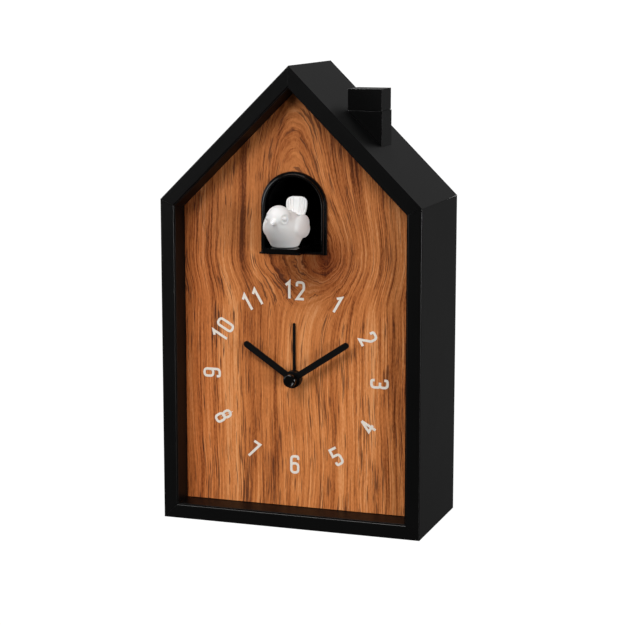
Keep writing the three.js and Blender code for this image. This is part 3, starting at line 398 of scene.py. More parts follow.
# How far the tree's middle lies behind the veneer at each height, in millimetres. The grain closes into
# arches where the curve rises, and the sharp dip is the knot beside the bird's opening.
GRAIN_LOW_MM, GRAIN_HIGH_MM, GRAIN_DEPTH_MM = -20, 260, 30
GRAIN_CURVE = [
    (-20, 5),
    (10, 10),
    (28, 13.6),
    (50, 18),
    (70, 22),
    (90, 24.4),
    (112, 24.2),
    (124, 22.2),
    (134, 18),
    (142, 11),
    (149, 3),
    (156, 2.2),
    (175, 6),
    (203, 12),
    (228, 17.5),
    (260, 24),
]
KNOT_X_MM, KNOT_Z_MM = 19, 151
SPREAD = 8  # scales noise, which stays near a half, to a spread of about one


def wood_veneer():
    """Crown-cut veneer. Its rings are the level lines of a field: how far each point lies from the middle
    of the tree. The grain is pushed aside by the knot, and fibres and pores run along it."""
    made = Finish("wood_veneer", Specular_IOR_Level=0.12)
    x, _, z = made.split(made.place())

    def scaled(value, factor, offset=0.0):
        return made.math("MULTIPLY_ADD", value, factor, offset)

    def hill(x_middle, z_middle, x_spread, z_spread):
        """A smooth hill of height 1."""
        across = made.math("POWER", scaled(x, 1 / x_spread, -x_middle / x_spread), 2.0)
        up = made.math("POWER", scaled(z, 1 / z_spread, -z_middle / z_spread), 2.0)
        return made.math("EXPONENT", scaled(made.math("ADD", across, up), -1.0))

    def field(across, across_per_mm, up_per_mm, seed, detail=2.0, roughness=0.5):
        """Noise with a mean near 0 and a spread near 1, drawn out along the grain."""
        place = made.vector(scaled(across, across_per_mm), seed, scaled(z, up_per_mm))
        return scaled(made.noise(place, detail=detail, roughness=roughness), SPREAD, -SPREAD / 2)

    wander = field(x, 0.010, 0.009, 2.0)
    ripple = field(x, 0.050, 0.022, 4.0)
    push = scaled(hill(12, 152, 26, 26), -19.0)
    waves = made.math("ADD", scaled(wander, 1.3), scaled(ripple, 0.22))
    across = made.math("ADD", made.math("ADD", x, push), waves)

    share = scaled(z, 1 / (GRAIN_HIGH_MM - GRAIN_LOW_MM), -GRAIN_LOW_MM / (GRAIN_HIGH_MM - GRAIN_LOW_MM))
    stops = []
    for height, depth in GRAIN_CURVE:
        grey = depth / GRAIN_DEPTH_MM
        stops.append(((height - GRAIN_LOW_MM) / (GRAIN_HIGH_MM - GRAIN_LOW_MM), (grey, grey, grey)))
    depth = scaled(made.ramp(share, stops, "B_SPLINE"), GRAIN_DEPTH_MM)
    square = made.math("ADD", made.math("MULTIPLY", across, across), made.math("MULTIPLY", depth, depth))
    ring = made.math("SQRT", square)
    tight = hill(KNOT_X_MM, KNOT_Z_MM, 7.5, 10.0)
    wide = hill(KNOT_X_MM - 6, KNOT_Z_MM - 4, 21.0, 18.0)
    rough = field(x, 0.20, 0.17, 51.0)
    ring = made.math("MULTIPLY_ADD", rough, scaled(wide, 0.55, 0.12), ring)

    def grain(path, per_mm, up_per_mm, seed, detail=2.0, roughness=0.5):
        """Noise that runs along a path through the wood. The second coordinate tells its two sides apart."""
        place = made.vector(scaled(path, per_mm), scaled(x, 0.05, seed), scaled(z, up_per_mm))
        return scaled(made.noise(place, detail=detail, roughness=roughness), SPREAD, -SPREAD / 2)

    # Round the knot everything follows the rings. Below it the fibres run straight down through them.
    curled = made.span(z, 112, 138)

    def fibres(per_mm, up_per_mm, seed, detail=2.0, roughness=0.5):
        straight = grain(across, per_mm, up_per_mm, seed, detail, roughness)
        bent = grain(ring, per_mm, up_per_mm, seed, detail, roughness)
        gap = made.math("SUBTRACT", bent, straight)
        return made.math("MULTIPLY_ADD", gap, curled, straight)

    patch = grain(ring, 0.035, 0.006, 1.0)
    band = grain(ring, 0.22, 0.004, 7.0, detail=3.0)
    streak = fibres(0.16, 0.004, 11.0, detail=3.0, roughness=0.6)
    line = fibres(0.75, 0.006, 13.0)
    fibre = fibres(1.3, 0.016, 19.0, detail=3.0, roughness=0.75)
    pore = fibres(1.9, 0.065, 27.0, detail=1.0)
    speckle = field(x, 1.5, 0.45, 41.0)
    crowd = fibres(0.10, 0.010, 33.0)

    tone = made.math("ADD", scaled(patch, 0.36), scaled(band, 0.36))
    tone = made.math("ADD", tone, made.math("ADD", scaled(streak, 0.60), scaled(speckle, 0.26)))
    tone = made.math("ADD", tone, made.math("ADD", scaled(line, 0.36), scaled(fibre, 0.8)))
    side = made.span(made.math("ABSOLUTE", scaled(x, 1.0, 8.0)), 12, 48, 0.95, 1.25)
    tone = made.math("MULTIPLY", tone, made.math("MULTIPLY", side, scaled(wide, 0.7, 1.0)))
    color = made.ramp(made.span(tone, -2.1, 2.0), WOOD_COLORS)

    color = made.mix(wide, color, KNOT_EDGE, "MULTIPLY")
    color = made.mix(tight, color, KNOT_HEART, "MULTIPLY")
    left = made.span(x, -64, -34, 1.0, 0.0)
    color = made.mix(left, color, LEFT_EDGE, "MULTIPLY")
    # painted shade: the veneer is made darker and cooler towards the top
    color = made.mix(made.span(z, 60, 200), color, TOP_PAINTED_SHADE, "MULTIPLY")
    most = made.span(x, -50, 0, 0.92, 0.76)
    depth_of_pore = made.span(made.math("MULTIPLY_ADD", crowd, 0.50, pore), 0.66, 1.32)
    depth_of_pore = made.math("MULTIPLY", depth_of_pore, most)
    color = made.mix(depth_of_pore, color, WOOD_PORE)

    relief = made.math("SUBTRACT", scaled(fibre, 0.1), depth_of_pore)
    gloss = made.span(depth_of_pore, 0.0, 0.7, 0.5, 0.7)
    return made.wire(Base_Color=color, Roughness=gloss, Normal=made.bump(relief, 0.05, 0.3))


def plain_wood(name, color):
    """Planed softwood with its grain running up."""
    made = Finish(name, Roughness=0.7, Specular_IOR_Level=0.3)
    point = made.place()
    grain = made.noise(made.stretched(point, (0.9, 0.9, 0.03)), detail=4, roughness=0.6)
    tone = made.ramp(grain, [(0.3, shade(color, 0.7)), (0.7, shade(color, 1.15))])
    return made.wire(Base_Color=tone, Normal=made.bump(grain, 0.06, 0.5))


def bird_plastic():
    """Satin warm white moulding, a little translucent, with a faint matt grain."""
    made = Finish(
        "bird_white",
        Subsurface_Weight=0.1,
        Subsurface_Scale=0.0012,
        Subsurface_Radius=(1.0, 0.75, 0.6),
        Specular_IOR_Level=0.4,
    )
    point = made.place()
    cloud = made.noise(point, scale=0.12, detail=3)
    fine = made.noise(point, scale=3.5, detail=2, roughness=0.6)
    tone = made.mix(cloud, (0.79, 0.775, 0.762), (0.87, 0.862, 0.852))
    gloss = made.span(fine, 0.3, 0.7, 0.36, 0.46)
    return made.wire(Base_Color=tone, Roughness=gloss, Normal=made.bump(fine, 0.02, 0.3))


def white_ink():
    """Screen-printed ink, a little uneven, with the wood's pores showing through it."""
    made = Finish("white_ink", Roughness=0.55, Specular_IOR_Level=0.3)
    point = made.place()
    pores = made.noise(made.stretched(point, (4.2, 1, 0.11)), detail=2, roughness=0.6)
    stops = [(0.32, (0.86, 0.80, 0.73)), (0.66, (0.80, 0.72, 0.62)), (0.74, (0.55, 0.42, 0.30))]
    tone = made.ramp(pores, stops)
    return made.wire(Base_Color=tone, Normal=made.bump(pores, 0.03, 0.3))


def circuit_finish():
    """Green solder mask over a maze of copper tracks."""
    made = Finish("circuit", Roughness=0.35)
    point = made.stretched(made.place(), (0.35, 0.35, 0.35))
    cells = made.add("TexVoronoi", {"Vector": point, "Scale": 1.0}, distance="MANHATTAN")
    tracks = made.span(cells.outputs[0], 0.32, 0.36)
    tone = made.mix(tracks, (0.012, 0.085, 0.035), (0.02, 0.16, 0.06))
    return made.wire(Base_Color=tone, Normal=made.bump(tracks, 0.04, 0.5))


def cell_finish():
    """A plain battery sleeve: one colour, with a faint brushed sheen."""
    made = Finish("cell_wrap", Metallic=0.35)
    point = made.place()
    lines = made.noise(made.stretched(point, (0.2, 5, 5)), detail=3)
    tone = made.mix(lines, (0.02, 0.075, 0.20), (0.045, 0.14, 0.34))
    return made.wire(Base_Color=tone, Roughness=made.span(lines, 0.3, 0.7, 0.28, 0.42))


finishes = {
    "black_lacquer": lacquer("black_lacquer", (0.0010, 0.0010, 0.0010), 0.3, 0.33),
    "wood_veneer": wood_veneer(),
    "pine": plain_wood("pine", (0.62, 0.42, 0.24)),
    "black_gloss": lacquer("black_gloss", (0.0008, 0.0008, 0.0008), 0.14, 0.5),
    "black_plastic": moulded("black_plastic", (0.010, 0.010, 0.0105), 0.46, specular=0.4),
    "hand_black": moulded("hand_black", (0.0010, 0.0010, 0.0010), 0.42, specular=0.2),
    "tunnel_black": moulded("tunnel_black", (0.0010, 0.0010, 0.0010), 0.75, specular=0.05),
    "bird_white": bird_plastic(),
    "natural_plastic": moulded("natural_plastic", (0.70, 0.67, 0.60), 0.42, depth=0.02, mottle=0.06),
    "grey_plastic": moulded("grey_plastic", (0.36, 0.36, 0.34), 0.5, depth=0.02, mottle=0.08),
    "brass": metal("brass", (0.66, 0.44, 0.16), 0.3),
    "steel": metal("steel", (0.55, 0.56, 0.58), 0.32),
    "copper": metal("copper", (0.62, 0.25, 0.11), 0.38, along=(6, 0.5, 0.5), depth=0.05),
    "circuit": circuit_finish(),
    "cell_wrap": cell_finish(),
    "white_ink": white_ink(),
}

# The CAD nodes that stay get their slot's finish. Those replaced below are hidden by their piece.
for subpart in frame["record"]["subparts"]:
    node = frame["nodes"][subpart["node"]]
    node.data.materials.clear()
    node.data.materials.append(finishes[subpart["material_slot"]])


# ---------------------------------------------------------------- case boards and chimney

ARRIS_MM = 0.65
MITRE_SHARE = 0.06  # arrises along a mitred joint are this much smaller than the others
GLUE_MM = 0.052  # each mitred end is brought forward by this much, to close the glue line
BROAD_FACE_M2 = 0.002  # a board's faces above this area are its broad faces
BOARD_EDGE = math.radians(20)  # a board's edges that turn by more than this are rounded


def case_board(node):
    """A board with rounded arrises. Its mitred ends are sharper, and close up against their neighbours."""
    piece = clean_copy(node)
    work = bmesh.new()
    work.from_mesh(piece.data)
    ends = [f for f in work.faces if abs(f.normal.y) < 0.5 and f.calc_area() < BROAD_FACE_M2]
    weights = work.edges.layers.float.new("bevel_weight_edge")
    for edge in work.edges:
        if len(edge.link_faces) == 2 and edge.calc_face_angle() > BOARD_EDGE:
            edge[weights] = MITRE_SHARE if any(f in ends for f in edge.link_faces) else 1.0
    for face in ends:
        step = face.normal * GLUE_MM * MM
        for vert in face.verts:
            vert.co += step
    work.to_mesh(piece.data)
    work.free()
    round_edges(piece, ARRIS_MM, 3, "WEIGHT")
    return install(piece, "black_lacquer", body_of(node), node)


CHIMNEY_ARRIS_MM = 0.06
BASE_RISE_MM = 0.22  # the chimney's base is this much taller than in the CAD, for a fine seam
LIP_INSET_MM = (0.38, 0.78)  # a lip on the base stands in a groove of the button, and hides the gap
LIP_RISE_MM = 0.55
LIP_SINK_MM = 0.3
GROOVE_PLAY_MM = 0.15
GROOVE_DEPTH_MM = 0.95
GROOVE_PAST_MM = 1  # the cutter starts this far below the button
ROOF_ROOM_MM = 0.08  # the button's left rim is cut back by this much, to clear the roof when it is pressed
LEFT_WALL_MM = 2  # the left rim lies within this of the button's left face
RIM_MM = 1  # and within this of the seam


def square_ring(name, low, high, insets, z_low, z_high):
    """A closed ring with square corners, set in from a box seen from above. All lengths are metres."""
    points = []
    for z in (z_low, z_high):
        for inset in insets:
            left, right = low.x + inset, high.x - inset
            front, rear = low.y + inset, high.y - inset
            points += [(left, front, z), (right, front, z), (right, rear, z), (left, rear, z)]
    outer_low, inner_low, outer_high, inner_high = [list(range(i, i + 4)) for i in (0, 4, 8, 12)]
    faces = bridge(outer_low, inner_low) + bridge(inner_low, inner_high)
    faces += bridge(inner_high, outer_high) + bridge(outer_high, outer_low)
    piece = mesh_piece(name, points, faces, scale=1)
    face_outwards(piece)
    return piece


def chimney():
    """The chimney and its snooze button, with a fine seam between them."""
    low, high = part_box("chimney_button")
    base_low, base_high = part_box("chimney_base")
    base = clean_copy("chimney_base")
    walls = [vert for vert in base.data.vertices if abs(vert.co.y - base_low.y) < WELD]
    walls += [vert for vert in base.data.vertices if abs(vert.co.y - base_high.y) < WELD]
    seam = max(vert.co.z for vert in walls)
    slope = (seam - base_low.z) / (base_high.x - base_low.x)
    for vert in walls:
        if seam - vert.co.z < WELD:
            vert.co.z += BASE_RISE_MM * MM
            if vert.co.x - base_low.x < WELD:
                vert.co.x -= BASE_RISE_MM * MM / slope
    top = seam + BASE_RISE_MM * MM
    inner, outer = (inset * MM for inset in LIP_INSET_MM)
    lip_foot, lip_top = top - LIP_SINK_MM * MM, top + LIP_RISE_MM * MM
    join_solids(base, square_ring("chimney_lip", low, high, (inner, outer), lip_foot, lip_top))

    button = clean_copy("chimney_button")
    left_rim = [
        vert
        for vert in button.data.vertices
        if vert.co.x - low.x < LEFT_WALL_MM * MM and vert.co.z < seam + RIM_MM * MM
    ]
    rim = min(vert.co.z for vert in left_rim)
    for vert in left_rim:
        vert.co.z += ROOF_ROOM_MM * MM
    insets = (inner - GROOVE_PLAY_MM * MM, outer + GROOVE_PLAY_MM * MM)
    groove_foot, groove_top = rim - GROOVE_PAST_MM * MM, rim + GROOVE_DEPTH_MM * MM
    groove = square_ring("chimney_groove", low, high, insets, groove_foot, groove_top)
    modify(button, "BOOLEAN", operation="DIFFERENCE", object=groove, solver="EXACT")
    bpy.data.objects.remove(groove)

    for piece, node in ((base, "chimney_base"), (button, "chimney_button")):
        round_edges(piece, CHIMNEY_ARRIS_MM, 3)
        install(piece, "black_lacquer", body_of(node), node)


for board in ("floor_panel", "wall_right", "wall_left", "roof_right", "roof_left"):
    case_board(board)
chimney()


# ---------------------------------------------------------------- dial and numerals

rounded_copy("dial_board", "wood_veneer", 0.25)
rounded_copy("dial_carrier", "hand_black", 0.15)

DIAL_FRONT_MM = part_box("dial_board")[0].y / MM
AXIS_MM = Vector((0, 0, (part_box("hour_wheel")[0].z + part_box("hour_wheel")[1].z) / 2 / MM))

NUMERAL_RADIUS_MM = 49
NUMERAL_WIDE_MM = 5.4
NUMERAL_HIGH_MM = 10.6
STROKE_MM = 1.4
INK_MM = 0.14
DIGIT_GAP_MM = 1.5
CURVE_MM = 1.9  # radius of a digit's rounded corners
STEP_MM = 0.006  # each further stroke of a digit is this much thinner, so that no two faces coincide
INK_SINK_MM = 0.01  # gap between the ink and the dial
SHARPEST_CORNER = 0.35  # limits how far a stroke's pointed corners reach

# Each digit is one or two strokes in a box one wide and one high: (closed, [(across, up, radius), ...]).
DIGITS = {
    "0": [(True, [(0, 0, CURVE_MM), (1, 0, CURVE_MM), (1, 1, CURVE_MM), (0, 1, CURVE_MM)])],
    "1": [(False, [(0.1, 0.8, 0), (0.62, 1, 0), (0.62, 0, 0)])],
    "2": [
        (
            False,
            [(0, 0.76, 0), (0, 1, CURVE_MM), (1, 1, CURVE_MM), (1, 0.6, CURVE_MM), (0, 0, 0), (1, 0, 0)],
        )
    ],
    "3": [
        (False, [(0, 0.8, 0), (0, 1, CURVE_MM), (1, 1, CURVE_MM), (1, 0.53, CURVE_MM), (0.3, 0.53, 0)]),
        (False, [(0.3, 0.53, 0), (1, 0.53, CURVE_MM), (1, 0, CURVE_MM), (0, 0, CURVE_MM), (0, 0.2, 0)]),
    ],
    "4": [
        (False, [(0.74, 0, 0), (0.74, 1, 0)]),
        (False, [(0.74, 1, 0), (0, 0.3, 0), (1.1, 0.3, 0)]),
    ],
    "5": [
        (
            False,
            [(1, 1, 0), (0, 1, 0), (0, 0.57, 0), (1, 0.57, CURVE_MM), (1, 0, CURVE_MM)]
            + [(0, 0, CURVE_MM), (0, 0.2, 0)],
        )
    ],
    "6": [
        (True, [(0, 0, CURVE_MM), (1, 0, CURVE_MM), (1, 0.57, CURVE_MM), (0, 0.57, CURVE_MM)]),
        (False, [(0, 0.3, 0), (0, 1, CURVE_MM), (1, 1, CURVE_MM), (1, 0.8, 0)]),
    ],
    "7": [(False, [(0, 1, 0), (1, 1, 0), (0.35, 0, 0)])],
    "8": [
        (True, [(0, 0, CURVE_MM), (1, 0, CURVE_MM), (1, 0.54, CURVE_MM), (0, 0.54, CURVE_MM)]),
        (True, [(0.06, 0.56, CURVE_MM), (0.94, 0.56, CURVE_MM), (0.94, 1, CURVE_MM), (0.06, 1, CURVE_MM)]),
    ],
}
DIGITS["9"] = [(closed, [(1 - a, 1 - u, r) for a, u, r in path]) for closed, path in DIGITS["6"]]


def rounded_path(corners, closed, steps=7):
    """A path through corners of (point, radius), each rounded by a curve that leaves room for the next."""
    count, points = len(corners), []
    for i, (corner, radius) in enumerate(corners):
        ends = not closed and i in (0, count - 1)
        if ends or radius == 0:
            points.append(corner)
            continue
        before, after = corners[i - 1][0] - corner, corners[(i + 1) % count][0] - corner
        half = before.angle(after) / 2
        reach = min(radius / math.tan(half), before.length * 0.5, after.length * 0.5)
        start, end = corner + before.normalized() * reach, corner + after.normalized() * reach
        for step in range(steps + 1):
            share = step / steps
            points.append(start * (1 - share) ** 2 + corner * 2 * share * (1 - share) + end * share**2)
    return points


def ribbon(path, closed, width):
    """The outline or outlines of a stroke of even width along a path. A closed path has two outlines."""
    count = len(path)
    left, right = [], []
    for i, point in enumerate(path):
        before = path[i - 1] if closed or i > 0 else None
        after = path[(i + 1) % count] if closed or i < count - 1 else None
        arriving = (point - before).normalized() if before is not None else None
        leaving = (after - point).normalized() if after is not None else None
        arriving = arriving or leaving
        leaving = leaving or arriving
        along = (arriving + leaving).normalized()
        normal = Vector((-along.y, along.x))
        spread = width / 2 / max(SHARPEST_CORNER, along.dot(leaving))
        left.append(point + normal * spread)
        right.append(point - normal * spread)
    return left, right


def stroke_solid(name, path, closed, place, thinner):
    """One printed stroke as a thin solid on the dial. place turns (across, up) into (x, z)."""
    left, right = ribbon(path, closed, STROKE_MM)
    front, rear = DIAL_FRONT_MM - INK_MM + thinner, DIAL_FRONT_MM - INK_SINK_MM - thinner
    sides = [[place(point) for point in side] for side in (left, right)]
    if not closed:
        return prism(name, sides[0] + sides[1][::-1], front, rear)
    count = len(path)
    points = [(x, y, z) for y in (front, rear) for side in sides for x, z in side]
    rings = [list(range(i * count, (i + 1) * count)) for i in range(4)]
    outer_front, inner_front, outer_rear, inner_rear = rings
    faces = bridge(outer_front, inner_front) + bridge(inner_front, inner_rear)
    faces += bridge(inner_rear, outer_rear) + bridge(outer_rear, outer_front)
    piece = mesh_piece(name, points, faces)
    face_outwards(piece)
    return piece


def numeral(hour):
    """One hour numeral, standing on its own radius. 4 to 8 stand with their feet outwards."""
    wide, high = NUMERAL_WIDE_MM - STROKE_MM, NUMERAL_HIGH_MM - STROKE_MM
    angle = TURN * hour / 12
    outward = Vector((math.sin(angle), math.cos(angle)))
    turned = 4 <= hour <= 8
    up = -outward if turned else outward
    across = Vector((up.y, -up.x))
    centre = outward * NUMERAL_RADIUS_MM + Vector((0, AXIS_MM.z))
    digits = str(hour)
    pitch = wide + STROKE_MM + DIGIT_GAP_MM
    solids = []
    for place_in_row, digit in enumerate(digits):
        offset = (place_in_row - (len(digits) - 1) / 2) * pitch

        def place(point, offset=offset):
            spot = centre + across * (point.x - wide / 2 + offset) + up * (point.y - high / 2)
            return spot.x, spot.y

        made = []
        for i, (closed, corners) in enumerate(DIGITS[digit]):
            scaled = [(Vector((a * wide, u * high)), radius) for a, u, radius in corners]
            path = rounded_path(scaled, closed)
            name = f"numeral_{hour}_{place_in_row}_{i}"
            made.append(stroke_solid(name, path, closed, place, i * STEP_MM))
        # The union of an 8's two loops comes out empty, so they stay two solids.
        only_loops = all(closed for closed, _ in DIGITS[digit])
        solids += made if only_loops else [join_solids(*made)]
    whole = collect(f"numeral_{hour:02d}", solids)
    install(whole, "white_ink", "case")


for hour in range(1, 13):
    numeral(hour)


# ---------------------------------------------------------------- arched opening

ARCH_CENTRE_MM = 178.7
ARCH_HALF_MM = 16
ARCH_SILL_MM = 154.8


BEZEL_WIDE_MM = 3.0  # the flange's outset from the opening
RIDGE_WIDE_MM = 1.65
RIDGE_PROUD_MM = 2.8  # how far the ridge stands out of the dial
SPIGOT_MM = (1.3, 2.9)  # the sleeve in the dial: its outset, and how far it runs behind the dial's front
SILL_OUTSET_MM = 2.1  # the rim is no wider than this below the opening
DIAL_FILM_MM = 0.05


def arch_ring(outset, y, steps=48):
    """Points round the opening, set out from it, from the lower left corner over the top to the lower
    right corner and back along the sill."""
    half, bottom = ARCH_HALF_MM + outset, ARCH_SILL_MM - min(outset, SILL_OUTSET_MM)
    points = [(-half, y, bottom), (-half, y, (bottom + ARCH_CENTRE_MM) / 2)]
    for i in range(steps + 1):
        angle = math.pi * (1 - i / steps)
        points.append((half * math.cos(angle), y, ARCH_CENTRE_MM + half * math.sin(angle)))
    points += [(half, y, (bottom + ARCH_CENTRE_MM) / 2), (half, y, bottom), (0, y, bottom)]
    return points


def bezel():
    """The glossy rim: a flat outer flange, a groove, and a taller rounded ridge round the opening."""
    face = DIAL_FRONT_MM - DIAL_FILM_MM
    proud = face - RIDGE_PROUD_MM
    sleeve, sleeve_end = SPIGOT_MM[0], DIAL_FRONT_MM + SPIGOT_MM[1]
    profile = [
        (BEZEL_WIDE_MM, face),
        (BEZEL_WIDE_MM, face - 1.0),
        (BEZEL_WIDE_MM - 0.25, face - 1.35),
        (BEZEL_WIDE_MM - 0.7, face - 1.45),
        (RIDGE_WIDE_MM + 0.25, face - 1.3),
        (RIDGE_WIDE_MM + 0.1, face - 1.35),
        (RIDGE_WIDE_MM, proud + 0.5),
        (RIDGE_WIDE_MM - 0.2, proud + 0.12),
        (RIDGE_WIDE_MM - 0.55, proud),
        (0.75, proud),
        (0.3, proud + 0.12),
        (0.05, proud + 0.5),
        (0.0, proud + 1.1),
        (0.0, sleeve_end),
        (sleeve, sleeve_end),
        (sleeve, face),
    ]
    points, rings = [], []
    for outset, y in profile:
        ring = arch_ring(outset, y)
        rings.append(list(range(len(points), len(points) + len(ring))))
        points += ring
    faces = []
    for i, ring in enumerate(rings):
        faces += bridge(ring, rings[(i + 1) % len(rings)])
    piece = mesh_piece("bezel_look", points, faces)
    face_outwards(piece)
    smooth(piece, 40)
    install(piece, "black_gloss", "case", "niche_bezel")


bezel()
rounded_copy("bird_tray", "black_gloss", 0.22)


# ---------------------------------------------------------------- bird

BIRD_VOXEL_MM = 0.3
BIRD_SHARP_DEGREES = 50

# The body's outline by height: z, half width, and the y of the breast and of the back.
BIRD_BODY = [
    (158.5, 7.3, -48.3, -33.6),
    (161.0, 8.3, -50.6, -31.4),
    (163.5, 9.4, -53.2, -28.6),
    (166.0, 10.0, -55.2, -26.0),
    (168.5, 10.2, -57.0, -24.2),
    (171.0, 9.8, -58.2, -24.0),
    (173.5, 8.4, -58.9, -26.2),
    (176.0, 6.4, -58.4, -30.5),
    (178.0, 4.4, -55.6, -37.0),
]
# Centre, radii and forward tilt in degrees.
BIRD_HEAD = ((0.3, -51.7, 175.5), (6.5, 7.3, 6.6), 0)
BIRD_WINGS = [
    ((8.8, -39.0, 169.8), (2.7, 10.4, 6.0), 6),
    ((8.4, -33.2, 166.8), (2.4, 6.2, 3.8), 16),
]
BODY_BLEND_STEPS = 42  # smoothing steps that melt the head into the body
WING_BLEND_STEPS = 26
LAST_BLEND_STEPS = 4
BEAK_TIP_MM = (0, -62.4, 172.9)
BEAK_ROOT_MM = (0, -55.6, 174.4)
BEAK_RADII_MM = (2.9, 1.5)
EYE_MM = (5.8, -56.0, 175.3)
EYE_RINGS = ((0.70, 0, 0.9), (-0.46, 1.6, 0.55), (0.28, 2.6, 0.55))  # height, radius and half width
EYE_REACH_MM = 4

TAIL_ROOT_Z_MM = 168
TAIL_TOP_Z_MM = 183.9
TAIL_HALF_MM = 6.0
TAIL_ROOT_HALF_MM = 1.6
TAIL_WIDEST = 0.75  # the share of its height where the fan stops widening
TAIL_CORNER = 0.78  # and where its rounded corners start
TAIL_CORNER_MM = 3.2
TAIL_X_MM = 0.8
TAIL_Y_MM = -25.2
TAIL_LEAN_MM = 1.2
TAIL_GROOVES = (0.30, 0.56, 0.79)  # shares of the fan's half width
TAIL_GROOVE_MM = 0.75


def ellipsoid(name, centre, radii, tilt, around=40, rows=24):
    """A closed egg shape, tilted forwards by an angle in degrees."""
    turn = Matrix.Rotation(math.radians(tilt), 3, "X")
    rings = []
    for i in range(rows + 1):
        angle = math.pi * i / rows
        ring = []
        for k in range(1 if i in (0, rows) else around):
            turned = TURN * k / around
            x = radii[0] * math.sin(angle) * math.cos(turned)
            y = radii[1] * math.sin(angle) * math.sin(turned)
            ring.append(turn @ Vector((x, y, radii[2] * math.cos(angle))) + Vector(centre))
        rings.append(ring)
    return skin(name, rings)


def rod_between(name, start, end, start_radius, end_radius, sides=24):
    """A round taper between two points, with a rounded far end."""
    start, end = Vector(start), Vector(end)
    along = (end - start).normalized()
    side = along.orthogonal().normalized()
    other = along.cross(side)
    stations = [(0, 0), (0, start_radius)]
    stations += [(1 - 0.35 * end_radius, end_radius * 1.25), (1, end_radius * 0.55), (1, 0)]
    rings = []
    for share, radius in stations:
        angles = [TURN * i / sides for i in range(sides if radius else 1)]
        spot = start.lerp(end, share)
        rings.append([spot + (side * math.cos(a) + other * math.sin(a)) * radius for a in angles])
    return skin(name, rings)


def tail_flare(share):
    """Half width of the tail's fan at a share of its height."""
    widening = math.sin(min(1, share / TAIL_WIDEST) * math.pi / 2)
    return TAIL_ROOT_HALF_MM + (TAIL_HALF_MM - TAIL_ROOT_HALF_MM) * widening


def tail_half_width(share):
    """The fan's half width with its top corners rounded."""
    if share < TAIL_CORNER:
        return tail_flare(share)
    corner = (share - TAIL_CORNER) / (1 - TAIL_CORNER)
    return TAIL_HALF_MM - TAIL_CORNER_MM * (1 - math.sqrt(max(0, 1 - corner**2)))


def tail_slab():
    """The upright tail: a grooved fan that leans back."""
    rows, steps, rings = 30, 72, []
    for i in range(rows + 1):
        share = i / rows
        half = tail_half_width(share)
        z = TAIL_ROOT_Z_MM + (TAIL_TOP_Z_MM - TAIL_ROOT_Z_MM) * share
        middle = TAIL_Y_MM + TAIL_LEAN_MM * share
        thick = (1.5 - 0.5 * share) * math.sqrt(1 - max(0, (share - 0.9) / 0.11) ** 2)
        depth = TAIL_GROOVE_MM * min(1, (1 - share) / 0.08, max(0, share - 0.28) / 0.25)
        ring = []
        for face in (-1, 1):
            for k in range(steps + 1):
                across = face * (1 - 2 * k / steps)
                fan = across * half / tail_flare(share)
                cut = max(bell(abs(fan) - groove, 0.06) for groove in TAIL_GROOVES)
                y = middle + face * (thick * (1 - 0.6 * across**8) - depth * cut)
                ring.append((TAIL_X_MM + across * half, y, z))
        rings.append(ring)
    return skin("bird_tail", rings)


def bell(distance, width):
    """A smooth bump of height 1."""
    return math.exp(-((distance / width) ** 2))


def body_slab():
    """The bird's body, skinned over the level ellipses of its outline."""
    around, rings = 40, []
    for z, half, front, rear in BIRD_BODY:
        ring = []
        for k in range(around):
            angle = TURN * k / around
            y = (front + rear) / 2 + (rear - front) / 2 * math.sin(angle)
            ring.append((half * math.cos(angle), y, z))
        rings.append(ring)
    return skin("bird_body", rings)


def eye_relief(point, eyes):
    """How far, in millimetres, the surface stands out at a point, for the eyes and the rings round them."""
    distance = min((point - eye).length for eye in eyes)
    if distance > EYE_REACH_MM:
        return 0.0
    return sum(height * bell(distance - radius, width) for height, radius, width in EYE_RINGS)


def blended(name, pieces, steps):
    """One skin round several solids, smoothed a number of times."""
    piece = collect(name, pieces)
    modify(piece, "REMESH", mode="VOXEL", voxel_size=BIRD_VOXEL_MM * MM, use_smooth_shade=True)
    modify(piece, "SMOOTH", factor=0.5, iterations=steps)
    return piece


def bird():
    """The bird: a smooth body with wings and a beak, raised eyes, and a crisp tail."""
    body = blended("bird_body", [body_slab(), ellipsoid("bird_head", *BIRD_HEAD)], BODY_BLEND_STEPS)
    wings = []
    for i, (centre, radii, tilt) in enumerate(BIRD_WINGS):
        for side in (-1, 1):
            spot = (side * centre[0], centre[1], centre[2])
            wings.append(ellipsoid(f"bird_wing_{i}_{side}", spot, radii, tilt))
    body = blended("bird_body", [body] + wings, WING_BLEND_STEPS)
    beak = rod_between("bird_beak", BEAK_ROOT_MM, BEAK_TIP_MM, *BEAK_RADII_MM)
    piece = blended("bird_look", [body, beak], LAST_BLEND_STEPS)
    points = [vert.co / MM for vert in piece.data.vertices]
    eyes = []
    for side in (-1, 1):
        aim = Vector((side * EYE_MM[0], EYE_MM[1], EYE_MM[2]))
        eyes.append(min(points, key=lambda point: (point - aim).length))
    normals = [vert.normal.copy() for vert in piece.data.vertices]
    for vert, point, normal in zip(piece.data.vertices, points, normals):
        vert.co += normal * eye_relief(point, eyes) * MM
        vert.co.z = max(vert.co.z, BIRD_BODY[0][0] * MM)
    piece.data.update()
    join_solids(piece, tail_slab())
    smooth(piece, BIRD_SHARP_DEGREES)
    install(piece, "bird_white", "bird_carriage", "bird")


bird()


# ---------------------------------------------------------------- hands

for hand in ("alarm_hand", "hour_hand", "minute_hand"):
    rounded_copy(hand, "hand_black", 0.16)


